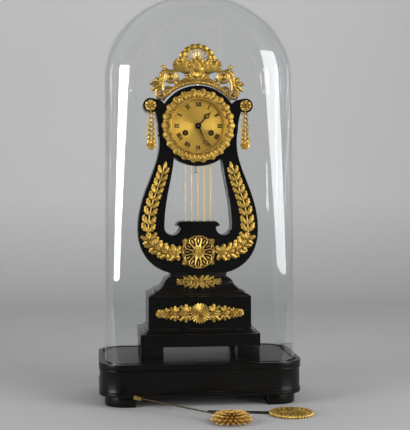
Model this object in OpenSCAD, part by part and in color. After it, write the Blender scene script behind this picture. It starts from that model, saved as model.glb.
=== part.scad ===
// Lyre clock in ebonised wood with gilt mounts, on a base under a glass dome,
// with two pendulums lying on the floor in front of it.
// The origin is on the floor under the middle of the base; the front faces -Y.

/* [Base] */
// Width of the dome's base
base_w = 348; // [340:1:380]
// Depth of the dome's base
base_d = 204; // [196:1:220]
// Radius of the base's corners
base_r = 46; // [38:1:52]
// Height of the base's feet
base_foot_h = 18.5; // [12:0.5:26]
// Length of a base foot along each side
base_foot_w = 52; // [40:1:64]
// Height of the moulded base body
base_body_h = 55.5; // [46:0.5:70]
// Width of the rim outside the glass
base_rim = 8; // [6:0.5:9]
// Width of the groove that holds the glass
groove_w = 8; // [7:0.5:10]
// Depth of the groove
groove_depth = 4.5; // [3:0.5:8]

/* [Glass] */
// Thickness of the glass
glass_t = 3; // [2:0.25:4]
// Height of the dome above the groove's floor
dome_h = 639.5; // [626:0.5:680]
// Height of the arched top of the dome
dome_arch_h = 150; // [135:1:170]

/* [Pedestal] */
// Width of a case foot
case_foot_w = 41; // [32:1:46]
// Depth of a case foot
case_foot_d = 36; // [28:1:42]
// Height of a case foot
case_foot_h = 22.5; // [16:0.5:28]
// Width of the plinth
plinth_w = 207; // [202:1:218]
// Depth of the plinth
plinth_d = 128; // [124:1:138]
// Height of the plinth's straight face
plinth_h = 22; // [16:0.5:28]
// Height of the sloping moulding on the plinth
plinth_slope_h = 7.5; // [5:0.5:11]
// Width of the pedestal block
block_w = 178; // [172:1:186]
// Depth of the pedestal block
block_d = 104; // [96:1:110]
// Height of the pedestal block
block_h = 56; // [50:0.5:66]
// Height of the curved cap under the lyre
cap_h = 38; // [34:0.5:44]
// Width of the cap's top
cap_top_w = 99; // [94:1:104]
// Depth of the cap's top
cap_top_d = 46; // [44:1:52]

/* [Lyre] */
// Thickness of the lyre board
lyre_t = 42; // [40:0.5:44]
// Width of the lyre at its bowl
lyre_w = 211; // [200:1:220]
// Height of the lyre's widest level above its foot
bowl_rise = 76; // [70:0.5:84]
// Height of the dial's centre above the lyre's foot
dial_rise = 256.5; // [250:0.5:266]
// Radius of the round head
head_r = 70; // [68:0.5:73]
// Radius of the bore for the movement
bore_r = 52; // [51.5:0.1:53]
// Radius of the ears
ear_r = 12.7; // [11:0.1:15]
// Distance of the ears from the middle
ear_x = 83; // [80:0.5:86]
// Thickness of a string
string_d = 1.8; // [1.2:0.1:2.6]
// Distance between strings
string_gap = 11.1; // [9:0.1:12]

/* [Dial] */
// Outer radius of the bezel's leaf ring
bezel_r = 64; // [61:0.5:67]
// Radius of the visible dial
dial_open_r = 45.7; // [44:0.1:46.5]
// Height of the bezel's relief
bezel_h = 7; // [5:0.5:9]
// Length of the minute hand
minute_len = 41; // [36:0.5:43]
// Length of the hour hand
hour_len = 34.5; // [30:0.5:38]
// Minutes past the hour
minutes = 26; // [0:1:59]
// Hour shown
hours = 1; // [0:1:11]

/* [Movement] */
// Distance of each winding hole from the middle
wind_x = 22.5; // [22.5:0.1:23]
// Drop of the winding holes below the middle
wind_drop = 12.3; // [12:0.1:12.8]
// Radius of the spring barrels
barrel_r = 19; // [17:0.1:19.4]
// Radius of the bell
bell_r = 30; // [26:0.5:31]
// Radial play of arbors and pins in their holes
play = 0.05; // [0.02:0.01:0.1]

/* [Crest] */
// Half width of the crest over the head
crest_half_w = 82; // [76:1:86]
// Thickness of the crest's plate
crest_t = 3; // [2.5:0.1:4]

/* [Pendulums] */
// Radius of the sunburst bob
sun_r = 34; // [30:0.5:38]
// Length of the pendulum from hook to bob
pendulum_len = 183; // [174:1:190]
// Radius of the beaded bob
bead_bob_r = 37; // [33:0.5:40]
// Length of the flat bar on the spare pendulum
spare_len = 137; // [125:1:150]

/* [Hidden] */
$fn = 48;

base_z = base_foot_h;
base_top = base_foot_h + base_body_h;
groove_z = base_top - groove_depth;
plinth_z = base_top + case_foot_h;
block_z = plinth_z + plinth_h + plinth_slope_h;
cap_z = block_z + block_h;
lyre_z = cap_z + cap_h;
bowl_z = lyre_z + bowl_rise;
dial_z = lyre_z + dial_rise;
front = lyre_t / 2;
ear_z = dial_z + 35.3;
bridge_z = lyre_z + 90;

black = [0.06, 0.055, 0.05];
gilt = [0.82, 0.62, 0.25];
brass = [0.78, 0.64, 0.33];
steel = [0.25, 0.26, 0.3];
glass = [0.8, 0.9, 0.9, 0.25];

// Depths towards the front, measured from the middle of the lyre board
plate_front = front - 9;
plate_t = 2;
plate_gap = 28;
back_front = plate_front - plate_t - plate_gap;
back_back = back_front - plate_t;
dial_front = front - 0.5;
dial_t = 1;
drum_len = 19;
drum_back = -front - drum_len;
ring_t = 2;
bell_rim = -30;
strap_x = 49;
strap_r = 1.5;
arbor_r = 1;
pivot_r = 0.7;

// Wheel teeth and modules
great_teeth = 84;
great_m = 0.5;
second_leaves = 14;
second_teeth = 70;
second_m = 0.45;
centre_leaves = 10;
centre_teeth = 80;
centre_m = 0.4;
third_leaves = 8;
third_teeth = 75;
third_m = 0.35;
escape_leaves = 6;
escape_teeth = 30;
escape_r = 9;
pin_teeth = 60;
pin_m = 0.35;
fly_leaves = 6;
cannon_leaves = 12;
minute_teeth = 36;
cannon_m = 0.6;
minute_leaves = 10;
hour_teeth = 40;
hour_m = cannon_m * (cannon_leaves + minute_teeth) / (minute_leaves + hour_teeth);

function polar(r, a) = [r * cos(a), r * sin(a)];
function bez(a, b, c, d, n = 10) =
    [for (i = [0:n]) let (t = i / n, u = 1 - t)
        u * u * u * a + 3 * u * u * t * b + 3 * u * t * t * c + t * t * t * d];
function flip_x(pts) = [for (i = [len(pts) - 1:-1:0]) [-pts[i].x, pts[i].y]];
// Third corner of a triangle on side a-b with the other two sides ra and rb
function apex(a, b, ra, rb, side) =
    let (
        d = norm(b - a),
        k = (ra * ra - rb * rb + d * d) / (2 * d),
        h = sqrt(max(0, ra * ra - k * k)),
        u = (b - a) / d
    ) a + k * u + side * h * [-u.y, u.x];
function heading(a, b) = atan2(b.y - a.y, b.x - a.x);
// Turn of a gear that puts its gap on the other gear's tooth
function mesh_turn(turn_a, teeth_a, dir, teeth_b) =
    dir + 180 + (180 - (turn_a - dir) * teeth_a) / teeth_b;

going_at = [wind_x, -wind_drop];
strike_at = [-wind_x, -wind_drop];
mid = [0, 0];
great_reach = great_m * (great_teeth + second_leaves) / 2;
second_reach = second_m * (second_teeth + centre_leaves) / 2;
centre_reach = centre_m * (centre_teeth + third_leaves) / 2;
third_reach = third_m * (third_teeth + escape_leaves) / 2;
fly_reach = pin_m * (pin_teeth + fly_leaves) / 2;
minute_reach = cannon_m * (cannon_leaves + minute_teeth) / 2;
second_at = apex(mid, going_at, second_reach, great_reach, 1);
escape_at = [0, 29.4];
third_at = apex(mid, escape_at, centre_reach, third_reach, 1);
pin_at = strike_at + polar(great_reach, 100);
fly_at = pin_at + polar(fly_reach, 60);
minute_at = [0, minute_reach];
anchor_at = [0, 41.4];
bell_at = [9, 0];
hammer_at = [34, -27];
pillar_at = [for (a = [35, 140, 250, 290]) polar(41, a)];

second_turn = mesh_turn(0, great_teeth, heading(going_at, second_at), second_leaves);
centre_turn = mesh_turn(second_turn, second_teeth, heading(second_at, mid), centre_leaves);
third_turn = mesh_turn(centre_turn, centre_teeth, heading(mid, third_at), third_leaves);
escape_turn = mesh_turn(third_turn, third_teeth, heading(third_at, escape_at), escape_leaves);
pin_turn = mesh_turn(0, great_teeth, heading(strike_at, pin_at), second_leaves);
fly_turn = mesh_turn(pin_turn, pin_teeth, heading(pin_at, fly_at), fly_leaves);
minute_turn = mesh_turn(0, cannon_leaves, heading(mid, minute_at), minute_teeth);
hour_turn = mesh_turn(minute_turn, minute_leaves, heading(minute_at, mid), hour_teeth);

// Places on the floor; the hook end stays beside the base when the pendulum gets longer
floor_y = -base_d / 2;
hook_end = [-115.5, floor_y - 5.5];
pendulum_dir = 144.8;
sun_at = hook_end - polar(pendulum_len, pendulum_dir);
sun_t = 18;
pendulum_tilt = 3.9;
spare_at = [139, floor_y - 63.5];
spare_dir = heading(spare_at, [5, floor_y - 36]);

// Shared shapes

// Turns the drawing plane upright: y becomes up and z becomes the front
module upright(z = 0) translate([0, 0, z]) rotate([90, 0, 0]) children();
module at_dial() upright(dial_z) children();
module place(p, d) translate([p.x, p.y, d]) children();

module rounded(w, d, r) {
    square([w - 2 * r, d], center = true);
    square([w, d - 2 * r], center = true);
    for (x = [-1, 1], y = [-1, 1])
        translate([x * (w / 2 - r), y * (d / 2 - r)]) circle(r);
}
module slab(w, d, r, z, h) translate([0, 0, z]) linear_extrude(h) rounded(w, d, r);

// Round bead that runs round a rounded rectangle
module bead_ring(w, d, r, z, bead) {
    for (s = [-1, 1]) {
        translate([0, s * d / 2, z]) rotate([0, 90, 0]) cylinder(r = bead, h = w - 2 * r, center = true);
        translate([s * w / 2, 0, z]) rotate([90, 0, 0]) cylinder(r = bead, h = d - 2 * r, center = true);
    }
    for (i = [0:3]) {
        sx = [1, -1, -1, 1][i];
        sy = [1, 1, -1, -1][i];
        translate([sx * (w / 2 - r), sy * (d / 2 - r), z]) rotate(90 * i)
            rotate_extrude(angle = 90) translate([r, 0]) circle(bead);
    }
}

// Block whose four sides all follow one front profile and one side profile
module moulded(z) {
    translate([0, 0, z]) intersection() {
        rotate([90, 0, 0]) linear_extrude(4 * plinth_d, center = true) children(0);
        rotate([90, 0, 90]) linear_extrude(4 * plinth_w, center = true) children(1);
    }
}

function teeth_pts(n, m, add, ded, root, tip) =
    let (p = 360 / n, r = n * m / 2)
    [for (k = [0:n - 1], c = [[-root, -ded], [-tip, add], [tip, add], [root, -ded]])
        polar(r + c[1] * m, k * p + c[0] * p / 2)];
module wheel_teeth(n, m, turn = 0) rotate(turn) polygon(teeth_pts(n, m, 0.8, 1.25, 0.42, 0.12));
module leaves_2d(n, m, turn = 0) rotate(turn) polygon(teeth_pts(n, m, 0.4, 1.2, 0.34, 0.2));
module crossed_wheel(n, m, turn, t, spokes = 4) {
    r = n * m / 2;
    rim = 2.4 * m + 1.2;
    linear_extrude(t) difference() {
        wheel_teeth(n, m, turn);
        difference() {
            circle(r - rim);
            circle(r * 0.28 + 0.6);
            for (i = [0:spokes - 1]) rotate(i * 360 / spokes)
                translate([0, -0.8]) square([r, 1.6]);
        }
    }
}
module rod(p, from, to, r) place(p, min(from, to)) cylinder(r = r, h = abs(to - from));
// Arbor with thinner pivots that turn in both plates
module arbor(p, r = arbor_r, shy = 0.5) {
    rod(p, back_front + shy, plate_front - plate_t - shy, r);
    rod(p, back_back, plate_front, pivot_r);
}

// Leaf with a raised middle, lying along +x
module leaf(l, w, h) hull() polyhedron(
    [[0, 0, 0], [0.4 * l, -0.5 * w, 0], [l, 0, 0], [0.4 * l, 0.5 * w, 0], [0.15 * l, 0, h], [0.7 * l, 0, h * 0.8]],
    [[3, 2, 1, 0], [0, 1, 4], [1, 5, 4], [1, 2, 5], [2, 3, 5], [3, 4, 5], [3, 0, 4]]
);
// Berry or bead with flat facets
module berry(r) hull() sphere(r, $fn = 5);
module button(r, h) hull() {
    cylinder(r = r, h = h / 2, $fn = 8);
    cylinder(r = r * 0.6, h = h, $fn = 8);
}
// Flower of petals round a button
module flower(r, h, petals) {
    for (i = [0:petals - 1]) rotate(i * 360 / petals) leaf(r, r * 5.2 / petals, h * 0.8);
    button(r * 0.34, h);
}
// Flat bar from point to point, used for stems and scrolls
module stem(pts, w0, w1, h) {
    n = len(pts) - 1;
    for (i = [0:n - 1]) hull() for (j = [i, i + 1]) translate(pts[j])
        cylinder(r = (w0 + (w1 - w0) * j / n) / 2, h = h, $fn = 6);
}
function spiral(c, r0, r1, a0, a1, n) =
    [for (i = [0:n]) c + polar(r0 + (r1 - r0) * i / n, a0 + (a1 - a0) * i / n)];

// Base and dome

module dome_base() color(black) {
    lip = 9;
    foot_band = 5;
    inset = 1.5;
    bead = 1.5;
    difference() {
        union() {
            slab(base_w, base_d, base_r, base_z, foot_band);
            slab(base_w - 2 * inset, base_d - 2 * inset, base_r - inset, base_z, base_body_h);
            slab(base_w, base_d, base_r, base_top - lip, lip);
            bead_ring(base_w - 2 * inset, base_d - 2 * inset, base_r - inset, base_top - lip - bead - 1, bead);
            bead_ring(base_w - 2 * inset, base_d - 2 * inset, base_r - inset, base_z + foot_band + bead, bead);
        }
        slab(base_w - 2 * base_rim, base_d - 2 * base_rim, base_r - base_rim, groove_z, groove_depth + 1);
    }
}

module dome_base_feet() color(black) {
    inset = 10;
    intersection() {
        slab(base_w - 2 * inset, base_d - 2 * inset, base_r - inset, 0, base_foot_h);
        for (x = [-1, 1], y = [-1, 1]) translate([x * base_w / 2, y * base_d / 2, 0])
            rounded_foot(2 * (base_foot_w + inset));
    }
}
module rounded_foot(w) translate([-w / 2, -w / 2, 0]) cube([w, w, base_foot_h]);

board_inset = base_rim + groove_w;
module display_board() color(black)
    slab(base_w - 2 * board_inset, base_d - 2 * board_inset, base_r - board_inset, groove_z, groove_depth);

// One level of the dome: a rounded rectangle that turns to an ellipse higher up
function dome_ring(a, b, r, round_share, z) =
    [for (q = [0:3], i = [0:8])
        let (
            t = q * 90 + i * 90 / 8,
            c = [[a - r, b - r], [r - a, b - r], [r - a, r - b], [a - r, r - b]][q],
            p = c + polar(r, t),
            e = [a * cos(t), b * sin(t)],
            m = p * (1 - round_share) + e * round_share
        ) [m.x, m.y, z]];
function dome_levels(a, b, r, spring, arch) = let (n = 12) [
    dome_ring(a, b, r, 0, groove_z),
    for (i = [0:n - 1]) let (
        u = i / n,
        k = cos(90 * u),
        z = spring + arch * sin(90 * u)
    ) dome_ring(a * k, b * k, r * k, u * u, z)
];
module glass_dome() color(glass) {
    clear = (groove_w - glass_t) / 2;
    a = base_w / 2 - base_rim - clear;
    b = base_d / 2 - base_rim - clear;
    r = base_r - base_rim - clear;
    spring = groove_z + dome_h - dome_arch_h;
    outer = dome_levels(a, b, r, spring, dome_arch_h);
    inner = dome_levels(a - glass_t, b - glass_t, r - glass_t, spring, dome_arch_h - glass_t);
    n = len(outer[0]);
    rows = len(outer);
    pts = concat(
        [for (l = outer) each l], [[0, 0, spring + dome_arch_h]],
        [for (l = inner) each l], [[0, 0, spring + dome_arch_h - glass_t]]
    );
    top_o = rows * n;
    in0 = rows * n + 1;
    top_i = in0 + rows * n;
    faces = concat(
        [for (l = [0:rows - 2], i = [0:n - 1]) let (j = (i + 1) % n)
            [l * n + i, (l + 1) * n + i, (l + 1) * n + j, l * n + j]],
        [for (i = [0:n - 1]) [(rows - 1) * n + i, top_o, (rows - 1) * n + (i + 1) % n]],
        [for (l = [0:rows - 2], i = [0:n - 1]) let (j = (i + 1) % n)
            [in0 + l * n + i, in0 + l * n + j, in0 + (l + 1) * n + j, in0 + (l + 1) * n + i]],
        [for (i = [0:n - 1]) [in0 + (rows - 1) * n + i, in0 + (rows - 1) * n + (i + 1) % n, top_i]],
        [for (i = [0:n - 1]) let (j = (i + 1) % n) [i, j, in0 + j, in0 + i]]
    );
    polyhedron(pts, faces, convexity = 6);
}

// Pedestal

module case_feet() color(black)
    for (x = [-1, 1], y = [-1, 1])
        translate([x * (plinth_w - case_foot_w) / 2, y * (plinth_d - case_foot_d) / 2, base_top + case_foot_h / 2])
            cube([case_foot_w - 2, case_foot_d - 2, case_foot_h], center = true);

module plinth_profile(w, top_w) polygon([
    [-w / 2, 0], [w / 2, 0], [w / 2, plinth_h],
    each bez([w / 2 - 1, plinth_h], [w / 2 - 7, plinth_h + 1], [top_w / 2 + 2, plinth_h + 3],
        [top_w / 2, plinth_h + plinth_slope_h], 5),
    each flip_x(bez([w / 2 - 1, plinth_h], [w / 2 - 7, plinth_h + 1], [top_w / 2 + 2, plinth_h + 3],
        [top_w / 2, plinth_h + plinth_slope_h], 5)),
    [-w / 2, plinth_h]
]);
module pedestal_plinth() color(black) moulded(plinth_z) {
    plinth_profile(plinth_w, block_w);
    plinth_profile(plinth_d, block_d);
}

module pedestal_block() color(black)
    translate([-block_w / 2, -block_d / 2, block_z]) cube([block_w, block_d, block_h]);

// Side line of the cap: a small step, then an ogee up to the neck
function cap_side(w, top) = let (s = (w - top) / 2) [
    [w / 2, 0],
    [w / 2 - 0.25 * s, 4.3],
    [w / 2 - 0.29 * s, 5.4],
    each bez([w / 2 - 0.31 * s, 7.6], [w / 2 - 0.52 * s, 9.6], [w / 2 - 0.66 * s, 15], [w / 2 - 0.72 * s, 21], 5),
    each bez([w / 2 - 0.73 * s, 22], [w / 2 - 0.77 * s, 26.5], [w / 2 - 0.86 * s, 29], [w / 2 - 1.02 * s, 31.6], 4),
    [w / 2 - 1.02 * s, cap_h - 4.4],
    [top / 2, cap_h - 3.8],
    [top / 2, cap_h]
];
module cap_profile(w, top) polygon(concat(cap_side(w, top), flip_x(cap_side(w, top))));
module pedestal_cap() color(black) moulded(cap_z) {
    cap_profile(block_w, cap_top_w);
    cap_profile(block_d, cap_top_d);
}

// Lyre

waist_z = dial_z - 30;
lyre_half = lyre_w / 2;
foot_half = cap_top_w / 2;
waist_half = 67.6;
function lyre_side() = concat(
    bez([ear_x - 8, ear_z - 9], [71, ear_z - 26], [waist_half, waist_z + 24], [waist_half, waist_z], 8),
    bez([waist_half, waist_z - 1], [waist_half, waist_z - 46], [lyre_half, bowl_z + 62], [lyre_half, bowl_z], 14),
    bez([lyre_half, bowl_z - 1], [lyre_half, bowl_z - 45], [foot_half + 30, lyre_z + 7], [foot_half, lyre_z], 12)
);
module lyre_outline() {
    neck = [[58, dial_z + 37], [66, ear_z + 9.5], [ear_x, ear_z + ear_r]];
    half = concat(neck, [[ear_x, ear_z]], lyre_side());
    polygon(concat(half, flip_x(half)));
    translate([0, dial_z]) circle(head_r);
    for (s = [-1, 1]) translate([s * ear_x, ear_z]) circle(ear_r);
}
eye_x = 45.1;
eye_r = 14.1;
eye_z = bridge_z - 10;
neck_half = 31;
module lyre_opening() {
    side = bez([42.5, dial_z - 55], [45, dial_z - 92], [eye_x + eye_r, bridge_z + 38],
        [eye_x + eye_r, eye_z], 12);
    difference() {
        union() {
            polygon(concat(side, [[neck_half, eye_z], [neck_half, bridge_z], [-neck_half, bridge_z],
                [-neck_half, eye_z]], flip_x(side)));
            for (s = [-1, 1]) translate([s * eye_x, eye_z]) circle(eye_r);
        }
        translate([0, dial_z]) circle(head_r);
        for (s = [0, 1]) mirror([s, 0]) polygon(concat(
            bez([neck_half - 2, bridge_z], [neck_half + 3, bridge_z], [37, bridge_z - 4], [38.5, bridge_z - 8.3], 4),
            bez([38.5, bridge_z - 8.3], [36, bridge_z - 7], [33, bridge_z - 8], [neck_half - 1, bridge_z - 12], 4)
        ));
    }
}
module lyre_frame() color(black) upright() translate([0, 0, -front])
    linear_extrude(lyre_t) difference() {
        lyre_outline();
        lyre_opening();
        translate([0, dial_z]) circle(bore_r);
    }

slot_half = 10;
module rear_drum() color(black) at_dial() difference() {
    rod(mid, drum_back, -front, head_r - 4);
    rod(mid, drum_back - 1, -front + 1, bore_r);
    translate([-slot_half, -head_r, drum_back - 1]) cube([2 * slot_half, head_r, drum_len + 2]);
}

string_depth = 15;
module lyre_strings() color(brass) for (i = [-2:2]) {
    x = i * string_gap;
    r = string_d / 2;
    top = dial_z - sqrt(pow(head_r, 2) - pow(max(0, abs(x) - r), 2));
    translate([x, -string_depth, bridge_z]) cylinder(r = r, h = top - bridge_z - 0.02);
}

// Mounts

module on_front(x, z, depth = front) upright() translate([x, z, depth]) children();

module crest() color(gilt) on_front(0, dial_z, 0) {
    arc_r = head_r + 5;
    for (a = [50, 90, 130]) rotate(a) hull() {
        translate([head_r, -1.5, 0]) cube([0.1, 3, crest_t]);
        translate([arc_r + 1, -1.5, 0]) cube([0.1, 3, crest_t]);
    }
    stem([for (a = [36:12:144]) polar(arc_r, a)], 6, 6, crest_t);
    fan_at = [0, head_r + 38];
    for (a = [15:18.75:165]) translate(fan_at) rotate(a) {
        translate([9.3, 0, 0]) leaf(21.5, 5.9, crest_t + 1);
        translate([31.6, 0, 0]) button(5.7, crest_t + 1.3);
    }
    stem([for (a = [3:14.5:177]) fan_at + polar(30, a)], 5, 5, crest_t);
    basket();
    for (s = [0, 1]) mirror([s, 0]) crest_side();
}
// Basket of flowers in the middle of the crest
module basket() {
    hull() {
        translate([-6, 76, 0]) cube([12, 1, crest_t]);
        translate([-16, 100, 0]) cube([32, 2, crest_t + 4]);
    }
    for (a = [12:39:168]) translate([0, 104, 2]) translate(polar(12, a)) button(5.4, 4);
    translate([0, 104, 2]) flower(9, 7, 6);
}
// Scrolls, wings and buds on one side of the crest
module crest_side() {
    stem(concat(
        [[30, 97], [39, 97]],
        spiral([48, 85], 10.3, 2.5, 100, -330, 9)
    ), 5, 3, crest_t + 1);
    stem(concat([[47, 75], [56, 76], [65, 71]], spiral([64, 55.5], 7.3, 1.9, 60, -306, 8)), 5, 3, crest_t);
    translate([10, 93, 0]) rotate(27.4) leaf(40, 15, crest_t + 2);
    translate([14, 86, 0]) rotate(17) leaf(37, 12, crest_t + 1.4);
    translate([49, 93, 0]) rotate(41) leaf(19, 9, crest_t + 2);
    translate([62, 75, 0]) rotate(-9) leaf(crest_half_w - 60, 11, crest_t + 1.2);
    translate([61, 77, 0]) rotate(28) leaf(20, 9, crest_t + 1);
    translate([63, 73, 0]) rotate(-47) leaf(17, 9, crest_t + 0.7);
    translate([12, 75, 0]) rotate(3) leaf(28, 9, crest_t + 1);
}

leaf_count = 20;
module bezel() color(gilt) at_dial() {
    ring_r = 48.5;
    for (i = [0:2 * leaf_count - 1]) rotate(i * 180 / leaf_count) translate([ring_r, 0, front]) {
        leaf((i % 2 == 0 ? 1 : 0.9) * (bezel_r - ring_r), i % 2 == 0 ? 10.5 : 8.5, bezel_h - (i % 2));
    }
    difference() {
        union() {
            rod(mid, front, front + 3, 56);
            rod(mid, front + 2, front + bezel_h - 1, ring_r);
            rod(mid, plate_front, front, bore_r - 0.4);
        }
        rod(mid, dial_front, front + bezel_h, dial_open_r);
        rod(mid, plate_front - 1, dial_front, dial_r + 0.2);
    }
}

dial_r = 47.3;
hole_r = 4.2;
feet_at = [for (a = [90, 198, 342]) polar(38, a)];
module dial() color(gilt) at_dial() {
    difference() {
        rod(mid, dial_front - dial_t, dial_front, dial_r);
        for (p = [going_at, strike_at]) rod(p, plate_front, front, hole_r);
        rod(mid, plate_front, front, 3.6);
    }
    for (p = feet_at) rod(p, plate_front, dial_front - dial_t, 1.6);
}
module winding_rims() color(steel) at_dial() for (p = [going_at, strike_at]) difference() {
    union() {
        rod(p, dial_front, dial_front + 0.8, hole_r + 0.6);
        rod(p, dial_front - dial_t, dial_front, hole_r - play);
    }
    rod(p, plate_front, front + 2, hole_r - 0.9);
}

module ear_rosettes() color(gilt) for (s = [-1, 1]) on_front(s * ear_x, ear_z) flower(9.6, 5, 8);

// Hanging drop: a ring of husks that grows down to a rosette
module drop() {
    for (i = [0:4]) {
        w = 11 + i * 1.3;
        translate([0, -11 - i * 10.3, 0]) for (a = [-142, -90, -38]) rotate(a) leaf(w * 0.85, w * 0.5, 4);
    }
    stem([[0, -7.4], [0, -62]], 3, 3, 3);
    translate([0, -66, 0]) flower(8.5, 5, 8);
}
module left_drop() color(gilt) on_front(-ear_x + 1, ear_z - 3) drop();
module right_drop() color(gilt) on_front(ear_x - 1, ear_z - 3) drop();

// Garland down one arm and round the bowl
function garland_path() = concat(
    bez([60, dial_z - 70], [66, dial_z - 104], [84, bowl_z + 52], [87, bowl_z + 9], 9),
    bez([88, bowl_z], [87, bowl_z - 26], [66, lyre_z + 34], [38, lyre_z + 35], 7)
);
module garland() {
    path = garland_path();
    last = len(path) - 1;
    stem(path, 2, 3.4, 2.6);
    for (i = [1:last]) {
        dir = heading(path[i - 1], path[i]);
        size = 11.5 + 8 * i / last;
        translate(path[i]) for (s = [-1, 1]) rotate(dir + 180 + s * 46) leaf(size, size * 0.58, 3.5);
    }
    translate(path[0]) rotate(heading(path[1], path[0])) leaf(12, 7, 3);
    for (i = [last - 3, last - 6]) translate(path[i]) flower(6.5, 5.5, 6);
}
module left_garland() color(gilt) on_front(0, 0) mirror([1, 0, 0]) garland();
module right_garland() color(gilt) on_front(0, 0) garland();

module lyre_medallion() color(gilt) on_front(0, lyre_z + 36.5) {
    ring_r = 24;
    stem([for (a = [0:36:360]) polar(ring_r, a)], 5, 5, 3.5);
    for (a = [0:36:324]) rotate(a) {
        translate([7, 0, 0]) leaf(16, 7, 4);
        translate([ring_r - 2, 0, 0]) leaf(7, 9, 4);
    }
    button(8, 6);
}

// Half of a spray: a wavy stem with pairs of leaves and a flower at its end
module spray(path, leaf_l, leaf_w, h, end_r) {
    last = len(path) - 1;
    stem(path, 3.4, 2.4, h - 0.5);
    for (i = [1:last - 1]) translate(path[i]) for (a = [-1, 1])
        rotate(a * 55) leaf(leaf_l * (1 - 0.4 * i / last), leaf_w, h);
    translate(path[last]) flower(end_r, h + 0.5, 6);
}
// The cap mount leans on the cap's sloping front, which it touches at two levels
mount_low = cap_side(block_d, cap_top_d)[5];
mount_high = cap_side(block_d, cap_top_d)[10];
mount_lean = atan2(mount_low.x - mount_high.x, mount_high.y - mount_low.y);
module cap_mount() color(gilt) {
    mid_point = mount_low + 0.85 * (mount_high - mount_low);
    on_front(0, cap_z + mid_point.y, mid_point.x) rotate([-mount_lean, 0, 0]) {
        for (s = [0, 1]) mirror([s, 0, 0])
            spray(bez([4, 0.4], [14, 7], [24, -7], [34, 0], 5), 13.1, 6.7, 3, 6);
        flower(11, 5, 8);
    }
}

block_mount_z = block_z + 27;
module block_mount() color(gilt) on_front(0, block_mount_z, block_d / 2) {
    for (s = [0, 1]) mirror([s, 0, 0])
        spray(bez([9, 1], [31, 13], [48, -13], [69, 0], 6), 17.3, 8.4, 3.3, 7.3);
    flower(17.5, 6, 10);
}

// Hands and the wheels behind the dial

hour_depth = front + 0.6;
hand_t = 0.8;
minute_depth = hour_depth + hand_t + 1;
minute_angle = 90 - minutes * 6;
hour_angle = 90 - (hours + minutes / 60) * 30;
cannon_tube_r = 2;
pipe_r = 3;
centre_arbor_r = 1.2;

// Hand with a round moon and a fine tip, lying along +x
module hand(len, moon, moon_r, hub_r, bore) linear_extrude(hand_t) difference() {
    union() {
        circle(hub_r);
        polygon([[0, -1.5], [moon - moon_r + 1, -0.6], [moon - moon_r + 1, 0.6], [0, 1.5]]);
        translate([moon, 0]) circle(moon_r);
        polygon([[moon + moon_r - 0.5, -1.2], [len, -0.15], [len, 0.15], [moon + moon_r - 0.5, 1.2]]);
    }
    translate([moon + 0.5, 0]) circle(moon_r * 0.6);
    circle(bore);
}
module hour_hand() color(steel) at_dial() place(mid, hour_depth)
    rotate(hour_angle) hand(hour_len, 22.5, 4.2, 5.3, pipe_r);
module minute_hand() color(steel) at_dial() place(mid, minute_depth)
    rotate(minute_angle) hand(minute_len, 31, 3.4, 4.2, cannon_tube_r);

minute_wheel_d = plate_front + 1.3;
hour_wheel_d = plate_front + 3.6;
module hour_wheel() color(brass) at_dial() difference() {
    union() {
        place(mid, hour_wheel_d) linear_extrude(1.4) wheel_teeth(hour_teeth, hour_m, hour_turn);
        rod(mid, hour_wheel_d, hour_depth + hand_t, pipe_r);
    }
    rod(mid, plate_front, minute_depth, cannon_tube_r + play);
}
module cannon_pinion() color(steel) at_dial() difference() {
    union() {
        place(mid, plate_front + 0.6) linear_extrude(2.4) leaves_2d(cannon_leaves, cannon_m);
        rod(mid, plate_front + 0.6, minute_depth + hand_t, cannon_tube_r);
    }
    rod(mid, plate_front, front + 9, centre_arbor_r + play);
}
module hand_collet() color(brass) at_dial() difference() {
    rod(mid, minute_depth + hand_t, minute_depth + hand_t + 1.4, 3);
    rod(mid, front, front + 9, centre_arbor_r + play);
}
module minute_wheel() color(brass) at_dial() {
    place(minute_at, minute_wheel_d) linear_extrude(1.2) wheel_teeth(minute_teeth, cannon_m, minute_turn);
    place(minute_at, minute_wheel_d) linear_extrude(4) leaves_2d(minute_leaves, hour_m, minute_turn);
    rod(minute_at, plate_front - plate_t, minute_wheel_d + 0.2, pivot_r);
}

// Plates

wind_arbor_r = 2.6;
pivots = [second_at, third_at, escape_at, pin_at, fly_at];
stud_r = 1.5;
plate_r = bore_r - 1;
back_plate_r = strap_x - strap_r - 0.6;
module pivot_holes(from, to) {
    for (p = pivots) rod(p, from, to, pivot_r + play);
    for (p = [going_at, strike_at]) rod(p, from, to, wind_arbor_r + play);
    rod(mid, from, to, centre_arbor_r + play);
}
module front_plate() color(brass) at_dial() difference() {
    rod(mid, plate_front - plate_t, plate_front, plate_r);
    pivot_holes(plate_front - plate_t - 1, plate_front + 1);
    rod(anchor_at, 0, front, pivot_r + play);
    rod(minute_at, 0, front, pivot_r + play);
}
module back_plate() color(brass) at_dial() {
    difference() {
        rod(mid, back_back, back_front, back_plate_r);
        pivot_holes(back_back - 1, back_front + 1);
        rod(anchor_at, back_back - 1, back_front + 1, 4);
        for (p = pillar_at) rod(p, back_back - 1, back_front + 1, stud_r + play);
    }
    rod(hammer_at, bell_rim - 5, back_back, stud_r);
}
module plate_pillars() color(brass) at_dial() for (p = pillar_at) {
    rod(p, back_front, plate_front - plate_t, 3);
    rod(p, back_back - 2.4, back_front, stud_r);
}
module pillar_nuts() color(steel) at_dial() for (p = pillar_at) difference() {
    rod(p, back_back - 2, back_back, 3);
    rod(p, back_back - 3, 0, stud_r + play);
}

// Spring barrels and winding

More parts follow.
